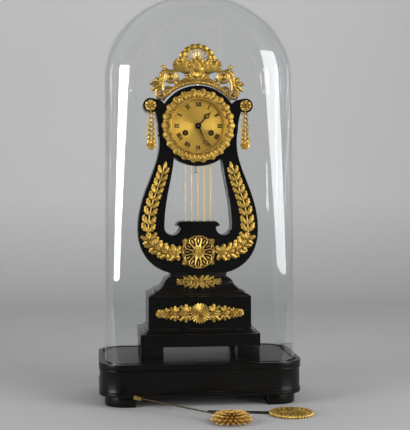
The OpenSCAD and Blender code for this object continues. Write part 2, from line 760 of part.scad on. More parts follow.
great_d = back_front + 4;
barrel_len = 18.5;
module barrel(p) difference() {
    union() {
        place(p, great_d) linear_extrude(2) wheel_teeth(great_teeth, great_m);
        rod(p, great_d, great_d + 2 + barrel_len, barrel_r);
    }
    rod(p, great_d - 1, front, wind_arbor_r + play);
}
module going_barrel() color(brass) at_dial() barrel(going_at);
module strike_barrel() color(brass) at_dial() barrel(strike_at);

ratchet_r = 6.5;
ratchet_teeth = 18;
square_w = 3.6;
module winding_arbor(p) {
    rod(p, back_back, plate_front + 1.6, wind_arbor_r);
    place(p, plate_front + 0.2) linear_extrude(1.3) polygon([
        for (i = [0:ratchet_teeth - 1], c = [0, 1])
            polar(ratchet_r - c * 0.9, (i + c * 0.2) * 360 / ratchet_teeth)
    ]);
    place(p, plate_front + 1.5) linear_extrude(dial_front - plate_front - 1.2) square(square_w, center = true);
}
module going_winding_arbor() color(steel) at_dial() winding_arbor(going_at);
module strike_winding_arbor() color(steel) at_dial() winding_arbor(strike_at);
module clicks() color(steel) at_dial() for (p = [going_at, strike_at])
    place(p + polar(ratchet_r + 4, -90), plate_front) {
        cylinder(r = 1.6, h = 2.2);
        linear_extrude(1.4) polygon([[-1.6, 0], [0.4, 3.2], [1.6, 0]]);
    }

// Going train

wheel_back = back_front + 1.2;
module second_wheel() color(brass) at_dial() {
    place(second_at, wheel_back) crossed_wheel(second_teeth, second_m, second_turn, 1.2);
    place(second_at, great_d - 1) linear_extrude(4) leaves_2d(second_leaves, great_m, second_turn);
    arbor(second_at, arbor_r);
}
centre_d = plate_front - plate_t - 2.2;
module centre_wheel() color(brass) at_dial() {
    place(mid, centre_d) crossed_wheel(centre_teeth, centre_m, centre_turn, 1.2);
    place(mid, wheel_back - 0.6) linear_extrude(2.4) leaves_2d(centre_leaves, second_m, centre_turn);
    rod(mid, back_back, minute_depth + hand_t + 1, centre_arbor_r);
}
third_d = back_front + 13;
module third_wheel() color(brass) at_dial() {
    place(third_at, third_d) crossed_wheel(third_teeth, third_m, third_turn, 1, 3);
    place(third_at, centre_d - 0.4) linear_extrude(1.8) leaves_2d(third_leaves, centre_m, third_turn);
    arbor(third_at, 0.9);
}
escape_d = back_front + 9;
module escape_wheel() color(brass) at_dial() {
    place(escape_at, escape_d) linear_extrude(1) difference() {
        polygon([for (i = [0:escape_teeth - 1], c = [[0, 0], [0.12, 0], [0.45, -1.6], [0.95, -1.6]])
            polar(escape_r + c[1], (i + c[0]) * 360 / escape_teeth)]);
        difference() {
            circle(escape_r - 2.8);
            circle(2.4);
            for (i = [0:2]) rotate(i * 120) translate([0, -0.6]) square([escape_r, 1.2]);
        }
    }
    place(escape_at, third_d - 0.5) linear_extrude(2) leaves_2d(escape_leaves, third_m, escape_turn);
    arbor(escape_at, 0.55);
}

// Strike train

module pin_wheel() color(brass) at_dial() {
    place(pin_at, wheel_back) crossed_wheel(pin_teeth, pin_m, pin_turn, 1.2, 3);
    place(pin_at, great_d - 1) linear_extrude(4) leaves_2d(second_leaves, great_m, pin_turn);
    for (i = [0:7]) place(pin_at + polar(8.6, i * 45), back_front + 0.3) cylinder(r = 0.4, h = 0.9);
    arbor(pin_at, arbor_r);
    rod(pin_at, back_back - 3, back_back, pivot_r);
}
module count_wheel() color(brass) at_dial() place(pin_at, back_back - 2.5) linear_extrude(1.3) difference() {
    circle(11);
    for (i = [2:12]) rotate(i * (i + 1) * 360 / 180) translate([9.6, -0.6]) square([2, 1.2]);
    circle(pivot_r);
}
module fly() color(brass) at_dial() {
    place(fly_at, wheel_back - 0.4) linear_extrude(2) leaves_2d(fly_leaves, pin_m, fly_turn);
    translate([fly_at.x - 6.5, fly_at.y - 0.3, back_front + 4.5]) cube([13, 0.6, 6.5]);
    arbor(fly_at, 0.55);
}

// Escapement, bell and hammer behind the back plate

cock_d = back_back - 8;
module anchor() color(steel) at_dial() {
    rod(anchor_at, cock_d - 2, plate_front - plate_t - 0.5, arbor_r);
    rod(anchor_at, cock_d - 2, plate_front, pivot_r);
    place(anchor_at, escape_d) linear_extrude(1) {
        circle(2.2);
        for (s = [-1, 1]) polygon([[0, 1.6], [s * 8.6, -3], [s * 7.4, -5.4], [s * 6.4, -3.2], [0, -1.4]]);
    }
}
crutch_d = back_back - 5;
crutch_len = 123;
module crutch() color(steel) at_dial() difference() {
    union() {
        rod(anchor_at, crutch_d - 1.2, crutch_d + 1.2, 3);
        place(anchor_at, crutch_d) rotate([90, 0, 0]) cylinder(r = 0.9, h = crutch_len);
        translate([-3, anchor_at.y - crutch_len, crutch_d - 5]) cube([6, 1.6, 6]);
    }
    rod(anchor_at, crutch_d - 2, crutch_d + 2, arbor_r);
    translate([-1.6, anchor_at.y - crutch_len - 1, crutch_d - 6]) cube([3.2, 4, 4]);
}
module back_cock() color(brass) at_dial() difference() {
    union() {
        translate([-16, anchor_at.y - 4, cock_d - 2]) cube([32, 7, 2]);
        for (s = [-1, 1]) rod([s * 13, anchor_at.y - 0.5], cock_d, back_back, 2.4);
    }
    rod(anchor_at, cock_d - 3, cock_d + 1, arbor_r + play);
}
bell_h = 17;
bell_t = 1.6;
module bell() color(brass) at_dial() place(bell_at, bell_rim) rotate([180, 0, 0]) rotate_extrude() difference() {
    union() {
        polygon([
            [stud_r + play, bell_h - bell_t],
            each bez([bell_r - bell_t, 0], [bell_r - bell_t, 8], [bell_r - 8, bell_h - bell_t],
                [bell_r * 0.4, bell_h - bell_t], 8),
            [stud_r + play, bell_h - bell_t]
        ]);
        polygon(concat(
            [[stud_r + play, bell_h - bell_t]],
            [for (i = [8:-1:0]) bez([bell_r - bell_t, 0], [bell_r - bell_t, 8], [bell_r - 8, bell_h - bell_t],
                [bell_r * 0.4, bell_h - bell_t], 8)[i]],
            bez([bell_r, 0], [bell_r, 9], [bell_r - 6, bell_h], [bell_r * 0.4, bell_h], 8),
            [[stud_r + play, bell_h]]
        ));
    }
    polygon([
        [0, -1],
        each bez([bell_r - bell_t, -1], [bell_r - bell_t, 8], [bell_r - 8, bell_h - bell_t],
            [bell_r * 0.4, bell_h - bell_t], 8),
        [0, bell_h - bell_t]
    ]);
}
module bell_stand() color(brass) at_dial() {
    rod(bell_at, bell_rim - bell_h + bell_t, back_back, 2.6);
    rod(bell_at, bell_rim - bell_h - 3, bell_rim - bell_h + bell_t, stud_r);
    difference() {
        rod(bell_at, bell_rim - bell_h - 2.6, bell_rim - bell_h, 3.4);
        rod(bell_at, bell_rim - bell_h - 3, bell_rim - bell_h + 1, stud_r - 0.1);
    }
}
head_at = bell_at + polar(bell_r + 4.3, -10);
module hammer() color(steel) at_dial() difference() {
    union() {
        rod(hammer_at, bell_rim - 4.5, bell_rim, 2.8);
        place(hammer_at, bell_rim - 3) rotate(heading(hammer_at, head_at))
            translate([0, -0.8, 0]) cube([norm(head_at - hammer_at), 1.6, 1.6]);
        place(head_at, bell_rim - 5) cylinder(r = 3.2, h = 5);
    }
    rod(hammer_at, bell_rim - 6, bell_rim + 1, stud_r + play);
}

// Rods and ring that clamp the movement in the lyre's head

module movement_straps() color(steel) at_dial() for (s = [-1, 1])
    rod([s * strap_x, 0], drum_back, plate_front - plate_t, strap_r);
module back_ring() color(brass) at_dial() difference() {
    rod(mid, drum_back - ring_t, drum_back, head_r - 8);
    rod(mid, drum_back - ring_t - 1, drum_back + 1, bell_r + 15);
}
module strap_screws() color(steel) at_dial() for (s = [-1, 1])
    rod([s * strap_x, 0], drum_back - ring_t - 1.8, drum_back - ring_t, 3);

// Pendulums on the floor

rod_r = 1.25;
hook_l = 15;
rod_z = 9;
module in_pendulum() translate([sun_at.x, sun_at.y, 0]) rotate(pendulum_dir) children();
module tilted() translate([0, 0, rod_z]) rotate([0, -pendulum_tilt, 0]) children();
module pendulum_rod() color(brass) in_pendulum() tilted()
    translate([sun_core_r, 0, 0]) rotate([0, 90, 0]) cylinder(r = rod_r, h = pendulum_len - hook_l - sun_core_r);
module pendulum_hook() color(brass) in_pendulum() tilted() translate([pendulum_len - hook_l, 0, 0]) difference() {
    translate([0, -3, -3]) cube([hook_l, 6, 6]);
    translate([hook_l - 5, 0, -4]) cylinder(r = 1.6, h = 8);
    translate([hook_l - 5, -1, -4]) cube([6, 2, 8]);
}
sun_core_r = 22;
module pendulum_bob() color(gilt) in_pendulum() difference() {
    union() {
        for (k = [0, 1], i = [0:15]) rotate((i + k / 2) * 22.5) translate([14, 0, 4 + 3 * k]) hull() {
            translate([0, -4.2, 0]) cube([1, 8.4, 5 - k]);
            translate([sun_r - 14.2 - 3 * k, -0.2, 1]) cube([0.2, 0.4, 0.8]);
        }
        rotate_extrude($fn = 32) polygon([[0, 0], [16, 0], [19, 3], [sun_core_r, 8], [20, 11],
            each bez([18, 12], [15, 16], [8, sun_t], [0, sun_t], 4)]);
    }
    tilted() translate([sun_core_r, 0, 0]) rotate([0, 90, 0]) cylinder(r = rod_r + 0.15, h = 40);
    tilted() translate([sun_core_r, -rod_r - 0.15, 0]) cube([40, 2 * rod_r + 0.3, 20]);
}

bar_t = 2.4;
module in_spare() translate([spare_at.x, spare_at.y, 0]) rotate(spare_dir) children();
module spare_pendulum_bar() color(black) in_spare() translate([0, 0, 1]) linear_extrude(bar_t)
    polygon([[bead_bob_r + 0.05, -4], [bead_bob_r + spare_len - 36, -1.5],
        [bead_bob_r + spare_len - 36, 1.5], [bead_bob_r + 0.05, 4]]);
module spare_pendulum_bob() color(gilt) in_spare() {
    rotate_extrude($fn = 32) polygon([[0, 0], [bead_bob_r - 4, 0], [bead_bob_r - 3.4, 4], [bead_bob_r - 7, 4.6],
        [bead_bob_r - 9, 3.6], [14, 5.6], [0, 6.2]]);
    for (i = [0:31]) rotate((i + 0.5) * 360 / 32) translate([bead_bob_r - 3, 0, 3]) berry(3);
}

dome_base();
dome_base_feet();
display_board();
glass_dome();
case_feet();
pedestal_plinth();
pedestal_block();
pedestal_cap();
lyre_frame();
rear_drum();
lyre_strings();
crest();
bezel();
dial();
winding_rims();
ear_rosettes();
left_drop();
right_drop();
left_garland();
right_garland();
lyre_medallion();
cap_mount();
block_mount();
hour_hand();
hour_wheel();
minute_hand();
hand_collet();
cannon_pinion();
minute_wheel();
front_plate();
back_plate();
plate_pillars();
pillar_nuts();
going_barrel();
going_winding_arbor();
strike_barrel();
strike_winding_arbor();
clicks();
second_wheel();
centre_wheel();
third_wheel();
escape_wheel();
anchor();
crutch();
back_cock();
count_wheel();
pin_wheel();
fly();
bell();
bell_stand();
hammer();
movement_straps();
back_ring();
strap_screws();
pendulum_rod();
pendulum_hook();
pendulum_bob();
spare_pendulum_bar();
spare_pendulum_bob();
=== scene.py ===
# %% [markdown]
# # A lyre clock under a glass dome
# The clock's solids come from CAD as a fixed frame. This lesson dresses them: it adds finishes,
# softens the edges of the wood and models the cast gilt mounts, which are too fine for the solids.
# The pieces are worked out in millimetres and scaled to metres when they are finished. The camera,
# the paper and the lamps are placed in metres.

# %% Load the frame
import math
import bmesh
import bpy
from mathutils import Matrix, Vector


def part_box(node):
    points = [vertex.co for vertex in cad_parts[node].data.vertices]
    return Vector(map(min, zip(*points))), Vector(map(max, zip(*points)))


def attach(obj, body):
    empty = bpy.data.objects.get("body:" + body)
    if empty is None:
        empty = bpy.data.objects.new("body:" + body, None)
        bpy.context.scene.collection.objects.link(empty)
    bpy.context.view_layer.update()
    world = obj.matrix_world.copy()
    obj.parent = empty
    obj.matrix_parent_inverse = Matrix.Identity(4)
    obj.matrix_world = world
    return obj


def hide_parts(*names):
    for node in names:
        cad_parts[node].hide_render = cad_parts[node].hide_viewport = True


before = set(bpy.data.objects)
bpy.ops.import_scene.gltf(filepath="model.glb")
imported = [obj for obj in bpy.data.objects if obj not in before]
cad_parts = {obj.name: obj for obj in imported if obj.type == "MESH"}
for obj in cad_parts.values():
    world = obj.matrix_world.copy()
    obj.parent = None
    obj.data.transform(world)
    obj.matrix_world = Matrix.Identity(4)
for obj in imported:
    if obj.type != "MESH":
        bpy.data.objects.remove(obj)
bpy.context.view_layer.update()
MM = 0.001

# %% [markdown]
# ## The camera
# The photograph was taken from a little left of the clock's middle and from about dial height.
# The place, the two turns and the focal length come from a fit of the base, the block, the ears
# and the crest. A vertical sensor fit keeps the framing whatever the render's width.

# %% Place the camera
FRAME_HEIGHT = 430
FOCAL_PIXELS = 1053
CAMERA_PLACE = (-0.1786, -1.8498, 0.3963)
LOOK_DOWN, LOOK_RIGHT = 0.0409, 0.1037
lens = bpy.data.cameras.new("camera")
lens.sensor_fit = "VERTICAL"
lens.sensor_height = 24
lens.lens = lens.sensor_height * FOCAL_PIXELS / FRAME_HEIGHT
lens.clip_start = 0.05
camera = bpy.data.objects.new("camera", lens)
camera.location = CAMERA_PLACE
camera.rotation_euler = (math.pi / 2 - LOOK_DOWN, 0, -LOOK_RIGHT)
bpy.context.scene.collection.objects.link(camera)
bpy.context.scene.camera = camera
print("focal length", round(lens.lens, 1), "mm")

# %% [markdown]
# ## Shader sums
# A finish is mostly small sums on masks. A class that wraps a socket lets them be written as plain
# expressions, and each sum adds one Math node.


# %% A socket that can be summed
class Wire:
    """An output socket. Sums with numbers or other wires add Math nodes."""

    def __init__(self, finish, socket):
        self.finish = finish
        self.socket = socket

    def math(self, operation, first, second):
        return self.finish.node("ShaderNodeMath", {"operation": operation}, {0: first, 1: second})

    def __add__(self, other):
        return self.math("ADD", self, other)

    __radd__ = __add__

    def __sub__(self, other):
        return self.math("SUBTRACT", self, other)

    def __rsub__(self, other):
        return self.math("SUBTRACT", other, self)

    def __mul__(self, other):
        return self.math("MULTIPLY", self, other)

    __rmul__ = __mul__


print("sums ready")

# %% [markdown]
# ## A finish
# Every finish starts from the Principled shader. What is the same all over is set on its sockets, and
# what changes over the surface comes from nodes, which one method adds and links. The nodes could be
# wired by hand in the editor, but short methods show at a glance what a finish is made of. The
# noises read Object coordinates, so they stay with their piece.


# %% The finish and its nodes
class Finish:
    """A material with one Principled shader; constants are set on the shader's own sockets."""

    def __init__(self, name, **constants):
        self.material = bpy.data.materials.new(name)
        self.material.use_nodes = True
        self.tree = self.material.node_tree
        self.shader = self.tree.nodes["Principled BSDF"]
        for socket, value in constants.items():
            self.shader.inputs[socket.replace("_", " ")].default_value = value
        self.place = self.node("ShaderNodeTexCoord", out="Object")

    def node(self, kind, settings=None, sockets=None, out=0):
        made = self.tree.nodes.new(kind)
        for key, value in (settings or {}).items():
            if key == "stops":
                for _ in value[2:]:
                    made.color_ramp.elements.new(0.5)
                for element, (position, colour) in zip(made.color_ramp.elements, value):
                    element.position = position
                    element.color = (*colour, 1)
            else:
                setattr(made, key, value)
        for key, value in (sockets or {}).items():
            if isinstance(value, Wire):
                self.tree.links.new(value.socket, made.inputs[key])
            else:
                made.inputs[key].default_value = value
        return Wire(self, made.outputs[out])

    def feed(self, socket, wire):
        self.tree.links.new(wire.socket, self.shader.inputs[socket])

    def moved(self, scale=(1, 1, 1), centre=(0, 0, 0)):
        sockets = {"Vector": self.place, "Scale": scale, "Location": [-c * s for c, s in zip(centre, scale)]}
        return self.node("ShaderNodeMapping", None, sockets)

    def noise(self, scale, detail=3, stretch=(1, 1, 1)):
        sockets = {"Vector": self.moved(stretch), "Scale": scale, "Detail": detail}
        return self.node("ShaderNodeTexNoise", None, sockets)

    def ramp(self, wire, *stops):
        grey = [(position, (shade,) * 3) if isinstance(shade, (int, float)) else (position, shade)
                for position, shade in stops]
        return self.node("ShaderNodeValToRGB", {"stops": grey}, {0: wire})

    def mix(self, share, first, second):
        sockets = {0: share}
        for key, colour in ((6, first), (7, second)):
            sockets[key] = colour if isinstance(colour, Wire) else (*colour, 1)
        return self.node("ShaderNodeMix", {"data_type": "RGBA"}, sockets, out=2)

    def bump(self, height, depth, strength=1.0):
        sockets = {"Height": height, "Distance": depth, "Strength": strength}
        self.feed("Normal", self.node("ShaderNodeBump", None, sockets))


print("finishes ready")

# %% [markdown]
# ## Ebonised wood
# Pear or beech was stained black and French polished. Close up it still shows a faint brown grain,
# fine pores in the polish, and rubbed brown edges. The bevel faces carry a "wear" attribute, so
# the rubbing follows the edges and a noise breaks it up.

# %% Make the black wood
STAIN, BROWN = (0.0018, 0.0018, 0.0016), (0.0036, 0.003, 0.0024)
DUST, BARE_WOOD = (0.05, 0.05, 0.045), (0.06, 0.045, 0.032)


def ebonised(name, along, polish, dust, haze=0.0):
    """Black wood with its grain along one axis; dust greys it in patches and haze dulls the polish."""
    stretch = [6 if axis == along else 60 for axis in range(3)]
    coat = polish * (0.8 - 2 * haze)
    black = Finish(name, Coat_Weight=coat, Coat_Roughness=0.1, IOR=1.45, Specular_IOR_Level=polish)
    grain = black.noise(1.6, 6, stretch)
    pores = black.noise(14, 2, stretch)
    patches = black.noise(9, 4)
    rubbed = black.node("ShaderNodeAttribute", {"attribute_name": "wear"}, out="Fac")
    worn = rubbed * black.ramp(black.noise(55, 4), (0.42, 0), (0.68, 1))
    browned = black.ramp(grain, (0.35, 0), (0.75, 1))
    stain = black.mix(browned, STAIN, BROWN)
    dusty = black.ramp(patches, (0.45, 0), (0.85, dust))
    film = black.mix(dusty, stain, DUST)
    black.feed("Base Color", black.mix(worn, film, BARE_WOOD))
    black.feed("Roughness", (0.16 + haze) + 0.12 * patches + 0.06 * grain + 0.15 * worn)
    black.bump(grain + 0.5 * pores, 0.00012, 0.2)
    return black.material


case_black = ebonised("case_black", along=2, polish=0.25, dust=0.06)
base_black = ebonised("base_black", along=0, polish=0.17, dust=0.03, haze=0.1)
print("made", case_black.name, "and", base_black.name)

# %% [markdown]
# ## Gilt bronze
# Fire-gilt castings are matte with burnished high points and brown dirt in the hollows. Here the
# hollows are also darkened with painted shade and the ridges lightened with a painted highlight.
# One flat gold would hide the carving, so Cycles' pointiness tells ridges from hollows on a dense
# mesh, and every cast leaf also carries a "hollow" attribute along its rim and veins.


# %% Make the gildings
def gilt(name, low, middle, high, rough, metallic=0.85, chased=0.6):
    """Gilding in three colours: dirt and painted shade in the hollows, the plain gilt, and burnished ridges
    with a painted highlight.
    """
    gold = Finish(name, Metallic=metallic)
    ridge = gold.node("ShaderNodeNewGeometry", out="Pointiness")
    hollow = gold.node("ShaderNodeAttribute", {"attribute_name": "hollow"}, out="Fac")
    tone = gold.noise(60, 4)
    grit = gold.noise(700, 2)
    # Pointiness picks the colour: dark in hollows as painted shade, light on ridges as burnishing and a
    # painted highlight.
    colour = gold.ramp(ridge, (0.42, low), (0.50, middle), (0.60, high))
    spots = gold.ramp(tone, (0.42, 0), (0.75, 0.5))
    dull = [0.3 * dark + 0.5 * plain for dark, plain in zip(low, middle)]
    colour = gold.mix(spots, colour, dull)
    # The hollow mask darkens leaf rims, notches and feet towards the low colour: dirt and painted shade.
    dirt_and_painted_shade = gold.ramp(hollow, (0.25, 0), (0.95, 1))
    gold.feed("Base Color", gold.mix(dirt_and_painted_shade, colour, low))
    gold.feed("Roughness", rough + 0.2 * tone + 0.25 * hollow + 0.6 * (0.5 - ridge))
    gold.bump(grit + 0.8 * gold.noise(240, 3), 0.0005, chased)
    return gold.material


mount_gilt = gilt("mount_gilt", (0.050, 0.024, 0.002), (0.52, 0.305, 0.039), (0.84, 0.58, 0.16), 0.34)
bezel_gilt = gilt("bezel_gilt", (0.110, 0.058, 0.006), (0.56, 0.33, 0.045), (0.86, 0.60, 0.17), 0.36,
                  chased=1.0)
# The cap's gilding is a darker copy of the mount gilding: painted shade on the leaning cap mount.
shaded_cap_gilt = gilt("shaded_cap_gilt", (0.040, 0.019, 0.002), (0.34, 0.20, 0.025), (0.56, 0.38, 0.10), 0.36)
bob_gilt = gilt("bob_gilt", (0.150, 0.060, 0.006), (0.80, 0.40, 0.050), (1.0, 0.68, 0.22), 0.30,
                metallic=0.6)
print("made four gildings")

# %% [markdown]
# ## Brass and steel
# The movement is plain lacquered brass with brushed plates, and the hands are blued almost black. A
# photo of brushed metal could be laid on, but a stretched noise gives the brush lines and a round one
# the clouds of old lacquer, at any size.


# %% Make the plain metals
def metal(name, colour, dark, rough, brushed=(1, 1, 1)):
    """Plain metal with darker clouds; brushed squeezes the noise to lines along the other axes."""
    sheet = Finish(name, Metallic=1.0)
    lines = sheet.noise(90, 3, brushed)
    cloud = sheet.noise(30, 4)
    sheet.feed("Base Color", sheet.mix(sheet.ramp(cloud, (0.4, 0), (0.8, 0.6)), colour, dark))
    sheet.feed("Roughness", rough + 0.14 * lines + 0.1 * cloud)
    sheet.bump(lines, 0.00004, 0.3)
    return sheet.material


brass = metal("movement_brass", (0.78, 0.54, 0.20), (0.50, 0.32, 0.11), 0.26, (1, 1, 12))
string_brass = metal("string_brass", (0.66, 0.44, 0.15), (0.42, 0.25, 0.07), 0.24)
rod_brass = metal("rod_brass", (0.075, 0.052, 0.026), (0.035, 0.026, 0.016), 0.36)
hook_brass = metal("hook_brass", (0.17, 0.115, 0.04), (0.08, 0.055, 0.02), 0.34)
bell_metal = metal("bell_metal", (0.66, 0.50, 0.26), (0.42, 0.30, 0.14), 0.2)
blued = metal("blued_steel", (0.010, 0.012, 0.022), (0.016, 0.014, 0.016), 0.28)
steel = metal("polished_steel", (0.56, 0.56, 0.57), (0.34, 0.33, 0.32), 0.22, (1, 14, 1))
bar_dark = metal("bar_dark", (0.06, 0.05, 0.045), (0.12, 0.075, 0.045), 0.42)
arbor_dark = metal("arbor_steel", (0.34, 0.25, 0.12), (0.18, 0.13, 0.06), 0.3)
print("made nine metals")

# %% [markdown]
# ## The dial plate
# The dial is one turned plate: a brushed bright middle, a fine engine-turned chapter ring and two
# thin inked circles. The pattern depends only on the distance from the centre, so the finish
# measures that distance from Object coordinates and compares it with the radius of each ring.

# %% Make the dial's finish
DIAL_Z = 476.5
DIAL_FACE = 20.5
RING_IN, GROOVES = 29.5, 9.0
TRACK_IN, TRACK_OUT, INK_HALF = 42.8, 44.6, 0.14
dial_gilt = Finish("dial_gilt", Metallic=0.85)
from_middle = dial_gilt.moved((1000, 0, 1000), (0, 0, DIAL_Z * MM))
radius = dial_gilt.node("ShaderNodeVectorMath", {"operation": "LENGTH"}, {0: from_middle}, out="Value")
turning = dial_gilt.node("ShaderNodeMath", {"operation": "SINE"}, {0: radius * GROOVES})
chapter = dial_gilt.node("ShaderNodeMath", {"operation": "GREATER_THAN"}, {0: radius, 1: RING_IN})


def inked(circle):
    off = dial_gilt.node("ShaderNodeMath", {"operation": "ABSOLUTE"}, {0: radius - circle})
    return dial_gilt.node("ShaderNodeMath", {"operation": "LESS_THAN"}, {0: off, 1: INK_HALF})


circles = 0.35 * (inked(TRACK_IN) + inked(TRACK_OUT))
clouds = dial_gilt.noise(26, 4)
plate = dial_gilt.mix(chapter, (0.80, 0.50, 0.085), (0.74, 0.46, 0.078))
plate = dial_gilt.mix(dial_gilt.ramp(clouds, (0.4, 0), (0.85, 0.5)), plate, (0.50, 0.30, 0.05))
dial_gilt.feed("Base Color", dial_gilt.mix(circles, plate, (0.02, 0.015, 0.01)))
dial_gilt.feed("Roughness", 0.36 + 0.08 * chapter + 0.08 * turning + 0.1 * clouds)
dial_gilt.bump(turning * (0.8 + 0.2 * chapter), 0.00011, 0.5)
print("dial finish with a chapter ring from", RING_IN, "mm")

# %% [markdown]
# ## Dome glass
# Real glass would need slow light paths to let lamps shine through it. A see-through shader mixed
# with a mirror by Fresnel gives the same gloss, and lamps still reach the clock. A face mirrors
# only on its outer side, because the mirror would otherwise trap light inside the wall.


# %% Make the glass
def see_through(finish, share, tint=(1, 1, 1, 1)):
    """Mixes the finish with plain transparency; a share of 1 shows only the finish."""
    clear = finish.node("ShaderNodeBsdfTransparent", None, {"Color": tint})
    own = Wire(finish, finish.shader.outputs[0])
    sheet = finish.node("ShaderNodeMixShader", None, {0: share, 1: clear, 2: own})
    finish.tree.links.new(sheet.socket, finish.tree.nodes["Material Output"].inputs["Surface"])


MIRROR, MIRROR_MOST = 1.9, 0.5
glass = Finish("dome_glass", Metallic=1.0, Roughness=0.02)
glass.shader.inputs["Base Color"].default_value = (0.93, 0.95, 0.96, 1)
inside = glass.node("ShaderNodeNewGeometry", out="Backfacing")
fresnel = glass.node("ShaderNodeFresnel", None, {"IOR": 1.5})
gloss = (1 - inside) * glass.node("ShaderNodeMath", {"operation": "MINIMUM"},
                                  {0: MIRROR * fresnel, 1: MIRROR_MOST})
see_through(glass, gloss, (0.985, 0.99, 0.99, 1))
print("glass:", glass.material.name)

# %% [markdown]
# ## From a drawing to a piece
# Each new mesh of the clock ends in the same way: it is put in its place, its faces are turned
# outwards, and it becomes an object that rides on one body of the frame. These lines could stand at
# each piece, but one function makes sure that no piece misses a step. The place goes into the mesh,
# and the object stays at the origin as the solids do.

# %% Finish a piece
CREASE = math.radians(40)


def piece(name, bm, finish, body, nodes=(), place=None, flat_from=1.0):
    """Ends a drawing in millimetres as an object on its body; faces from flat_from m2 up stay flat."""
    if place is not None:
        bmesh.ops.transform(bm, matrix=place, verts=bm.verts)
    bmesh.ops.recalc_face_normals(bm, faces=bm.faces)
    bmesh.ops.scale(bm, vec=(MM, MM, MM), verts=bm.verts)
    mesh = bpy.data.meshes.new(name)
    bm.to_mesh(mesh)
    bm.free()
    mesh.set_sharp_from_angle(angle=CREASE)
    for polygon in mesh.polygons:
        polygon.use_smooth = polygon.area < flat_from
    made = bpy.data.objects.new(name, mesh)
    made.data.materials.append(finish)
    bpy.context.scene.collection.objects.link(made)
    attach(made, body)
    if nodes:
        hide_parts(*nodes)
    print(name, len(mesh.polygons), "faces on", body)


print("piece ready")

# %% [markdown]
# ## The wooden pieces
# The solids already have the right outlines, but machine-sharp edges never look like polished
# wood. A copy of each node is merged, its flat triangles are dissolved, and every sharp edge is
# bevelled. The bevel faces get the "wear" value that the black finish rubs through.

# %% Bevel the woodwork
SHARP = math.radians(32)
# For each node: its finish and the width of its bevels.
WOOD = {
    "dome_base": (base_black, 0.7), "dome_base_feet": (base_black, 0.8), "display_board": (base_black, 0.5),
    "case_feet": (case_black, 0.6), "pedestal_plinth": (case_black, 0.5), "pedestal_block": (case_black, 0.5),
    "pedestal_cap": (case_black, 0.4), "lyre_frame": (case_black, 0.7), "rear_drum": (case_black, 0.5),
}


def softened(node, finish, width):
    bm = bmesh.new()
    bm.from_mesh(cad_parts[node].data)
    bmesh.ops.scale(bm, vec=(1 / MM,) * 3, verts=bm.verts)
    bmesh.ops.remove_doubles(bm, verts=bm.verts, dist=1e-3)
    bmesh.ops.dissolve_limit(bm, angle_limit=math.radians(0.5), verts=bm.verts, edges=bm.edges)
    sharp = [edge for edge in bm.edges if edge.is_manifold and edge.calc_face_angle(0) > SHARP]
    layer = bm.faces.layers.float.new("wear")
    rounded = bmesh.ops.bevel(bm, geom=sharp, offset=width, offset_type="OFFSET", segments=2, profile=0.5,
                              affect="EDGES", clamp_overlap=True, material=-1)
    for face in rounded["faces"]:
        face[layer] = 1.0
    piece("wood_" + node, bm, finish, "clock", [node], flat_from=0.0015)


for node, (finish, width) in WOOD.items():
    softened(node, finish, width)

# %% [markdown]
# ## The glass dome
# The dome was blown into an oval mould: straight walls on a rounded oblong that turn to an ellipse
# at the top. The corners grow rounder upwards, fitted to the slant of the lamps' reflections. A flat
# grid is rolled up: its columns go round, its rows go up, and the seam and the top row are merged.
# The wall gets its thickness last, inwards.

# %% Blow the dome
GLASS = 3.0
HALF_W, HALF_D = 163.5, 91.5
CORNER, CORNER_GROWTH, GROWTH_POWER = 35.5, 36, 1.4
FOOT_Z, ARCH = 69.5, 150.0
AROUND, ROWS, STRAIGHT = 144, 44, 4
dome_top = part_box("glass_dome")[1].z / MM
spring_z = dome_top - ARCH


def polar(r, degrees):
    return Vector((r * math.cos(math.radians(degrees)), r * math.sin(math.radians(degrees)), 0))


def dome_point(turn, row):
    angle = 360 * turn
    share = max(0, row - STRAIGHT) / (ROWS - STRAIGHT)
    shrink = max(0, math.cos(math.pi / 2 * share))
    z = spring_z + ARCH * math.sin(math.pi / 2 * share)
    if row < STRAIGHT:
        z = FOOT_Z + (spring_z - FOOT_Z) * row / STRAIGHT
    across, deep = math.cos(math.radians(angle)), math.sin(math.radians(angle))
    corner = CORNER + CORNER_GROWTH * min(1, row / STRAIGHT) ** GROWTH_POWER
    corner_x = (HALF_W - corner) * (1 if across > 0 else -1)
    corner_y = (HALF_D - corner) * (1 if deep > 0 else -1)
    oblong = Vector((corner_x, corner_y, 0)) + polar(corner, angle)
    oval = Vector((HALF_W * across, HALF_D * deep, 0))
    return oblong.lerp(oval, share * share) * shrink + Vector((0, 0, z))


dome = bmesh.new()
for vert in bmesh.ops.create_grid(dome, x_segments=AROUND, y_segments=ROWS, size=0.5)["verts"]:
    vert.co = dome_point(vert.co.x + 0.5, round((vert.co.y + 0.5) * ROWS))
bmesh.ops.remove_doubles(dome, verts=dome.verts, dist=0.01)
bmesh.ops.recalc_face_normals(dome, faces=dome.faces)
bmesh.ops.solidify(dome, geom=dome.faces, thickness=GLASS)
piece("glass_shell", dome, glass.material, "dome", ["glass_dome"])

# %% [markdown]
# ## Places on the front
# Numerals and mounts are drawn face up, with +z towards the viewer, as they lay on the maker's bench.
# They could be drawn upright at once, but flat drawings are easier to follow. One matrix then stands
# a drawing on the clock's front: its y becomes the height, and its z points out of the front.

# %% Make the places
STAND = Matrix(((1, 0, 0, 0), (0, 0, -1, 0), (0, 1, 0, 0), (0, 0, 0, 1)))


def at(x=0.0, y=0.0, z=0.0, turn=0.0):
    return Matrix.Translation((x, y, z)) @ Matrix.Rotation(math.radians(turn), 4, "Z")


def front(x, z, depth):
    return Matrix.Translation((x, -depth, z)) @ STAND


print("at and front ready")

# %% [markdown]
# ## Numerals on the dial
# The hours were engraved and filled with black wax. Each letter is a few slanted bars with short
# serifs, so a cube is squeezed to a bar and its corners are pushed sideways. The letters stand with
# their feet to the centre, and sixty small strokes make the minute track. A typeface could be used,
# but bars keep the heavy strokes of this dial.

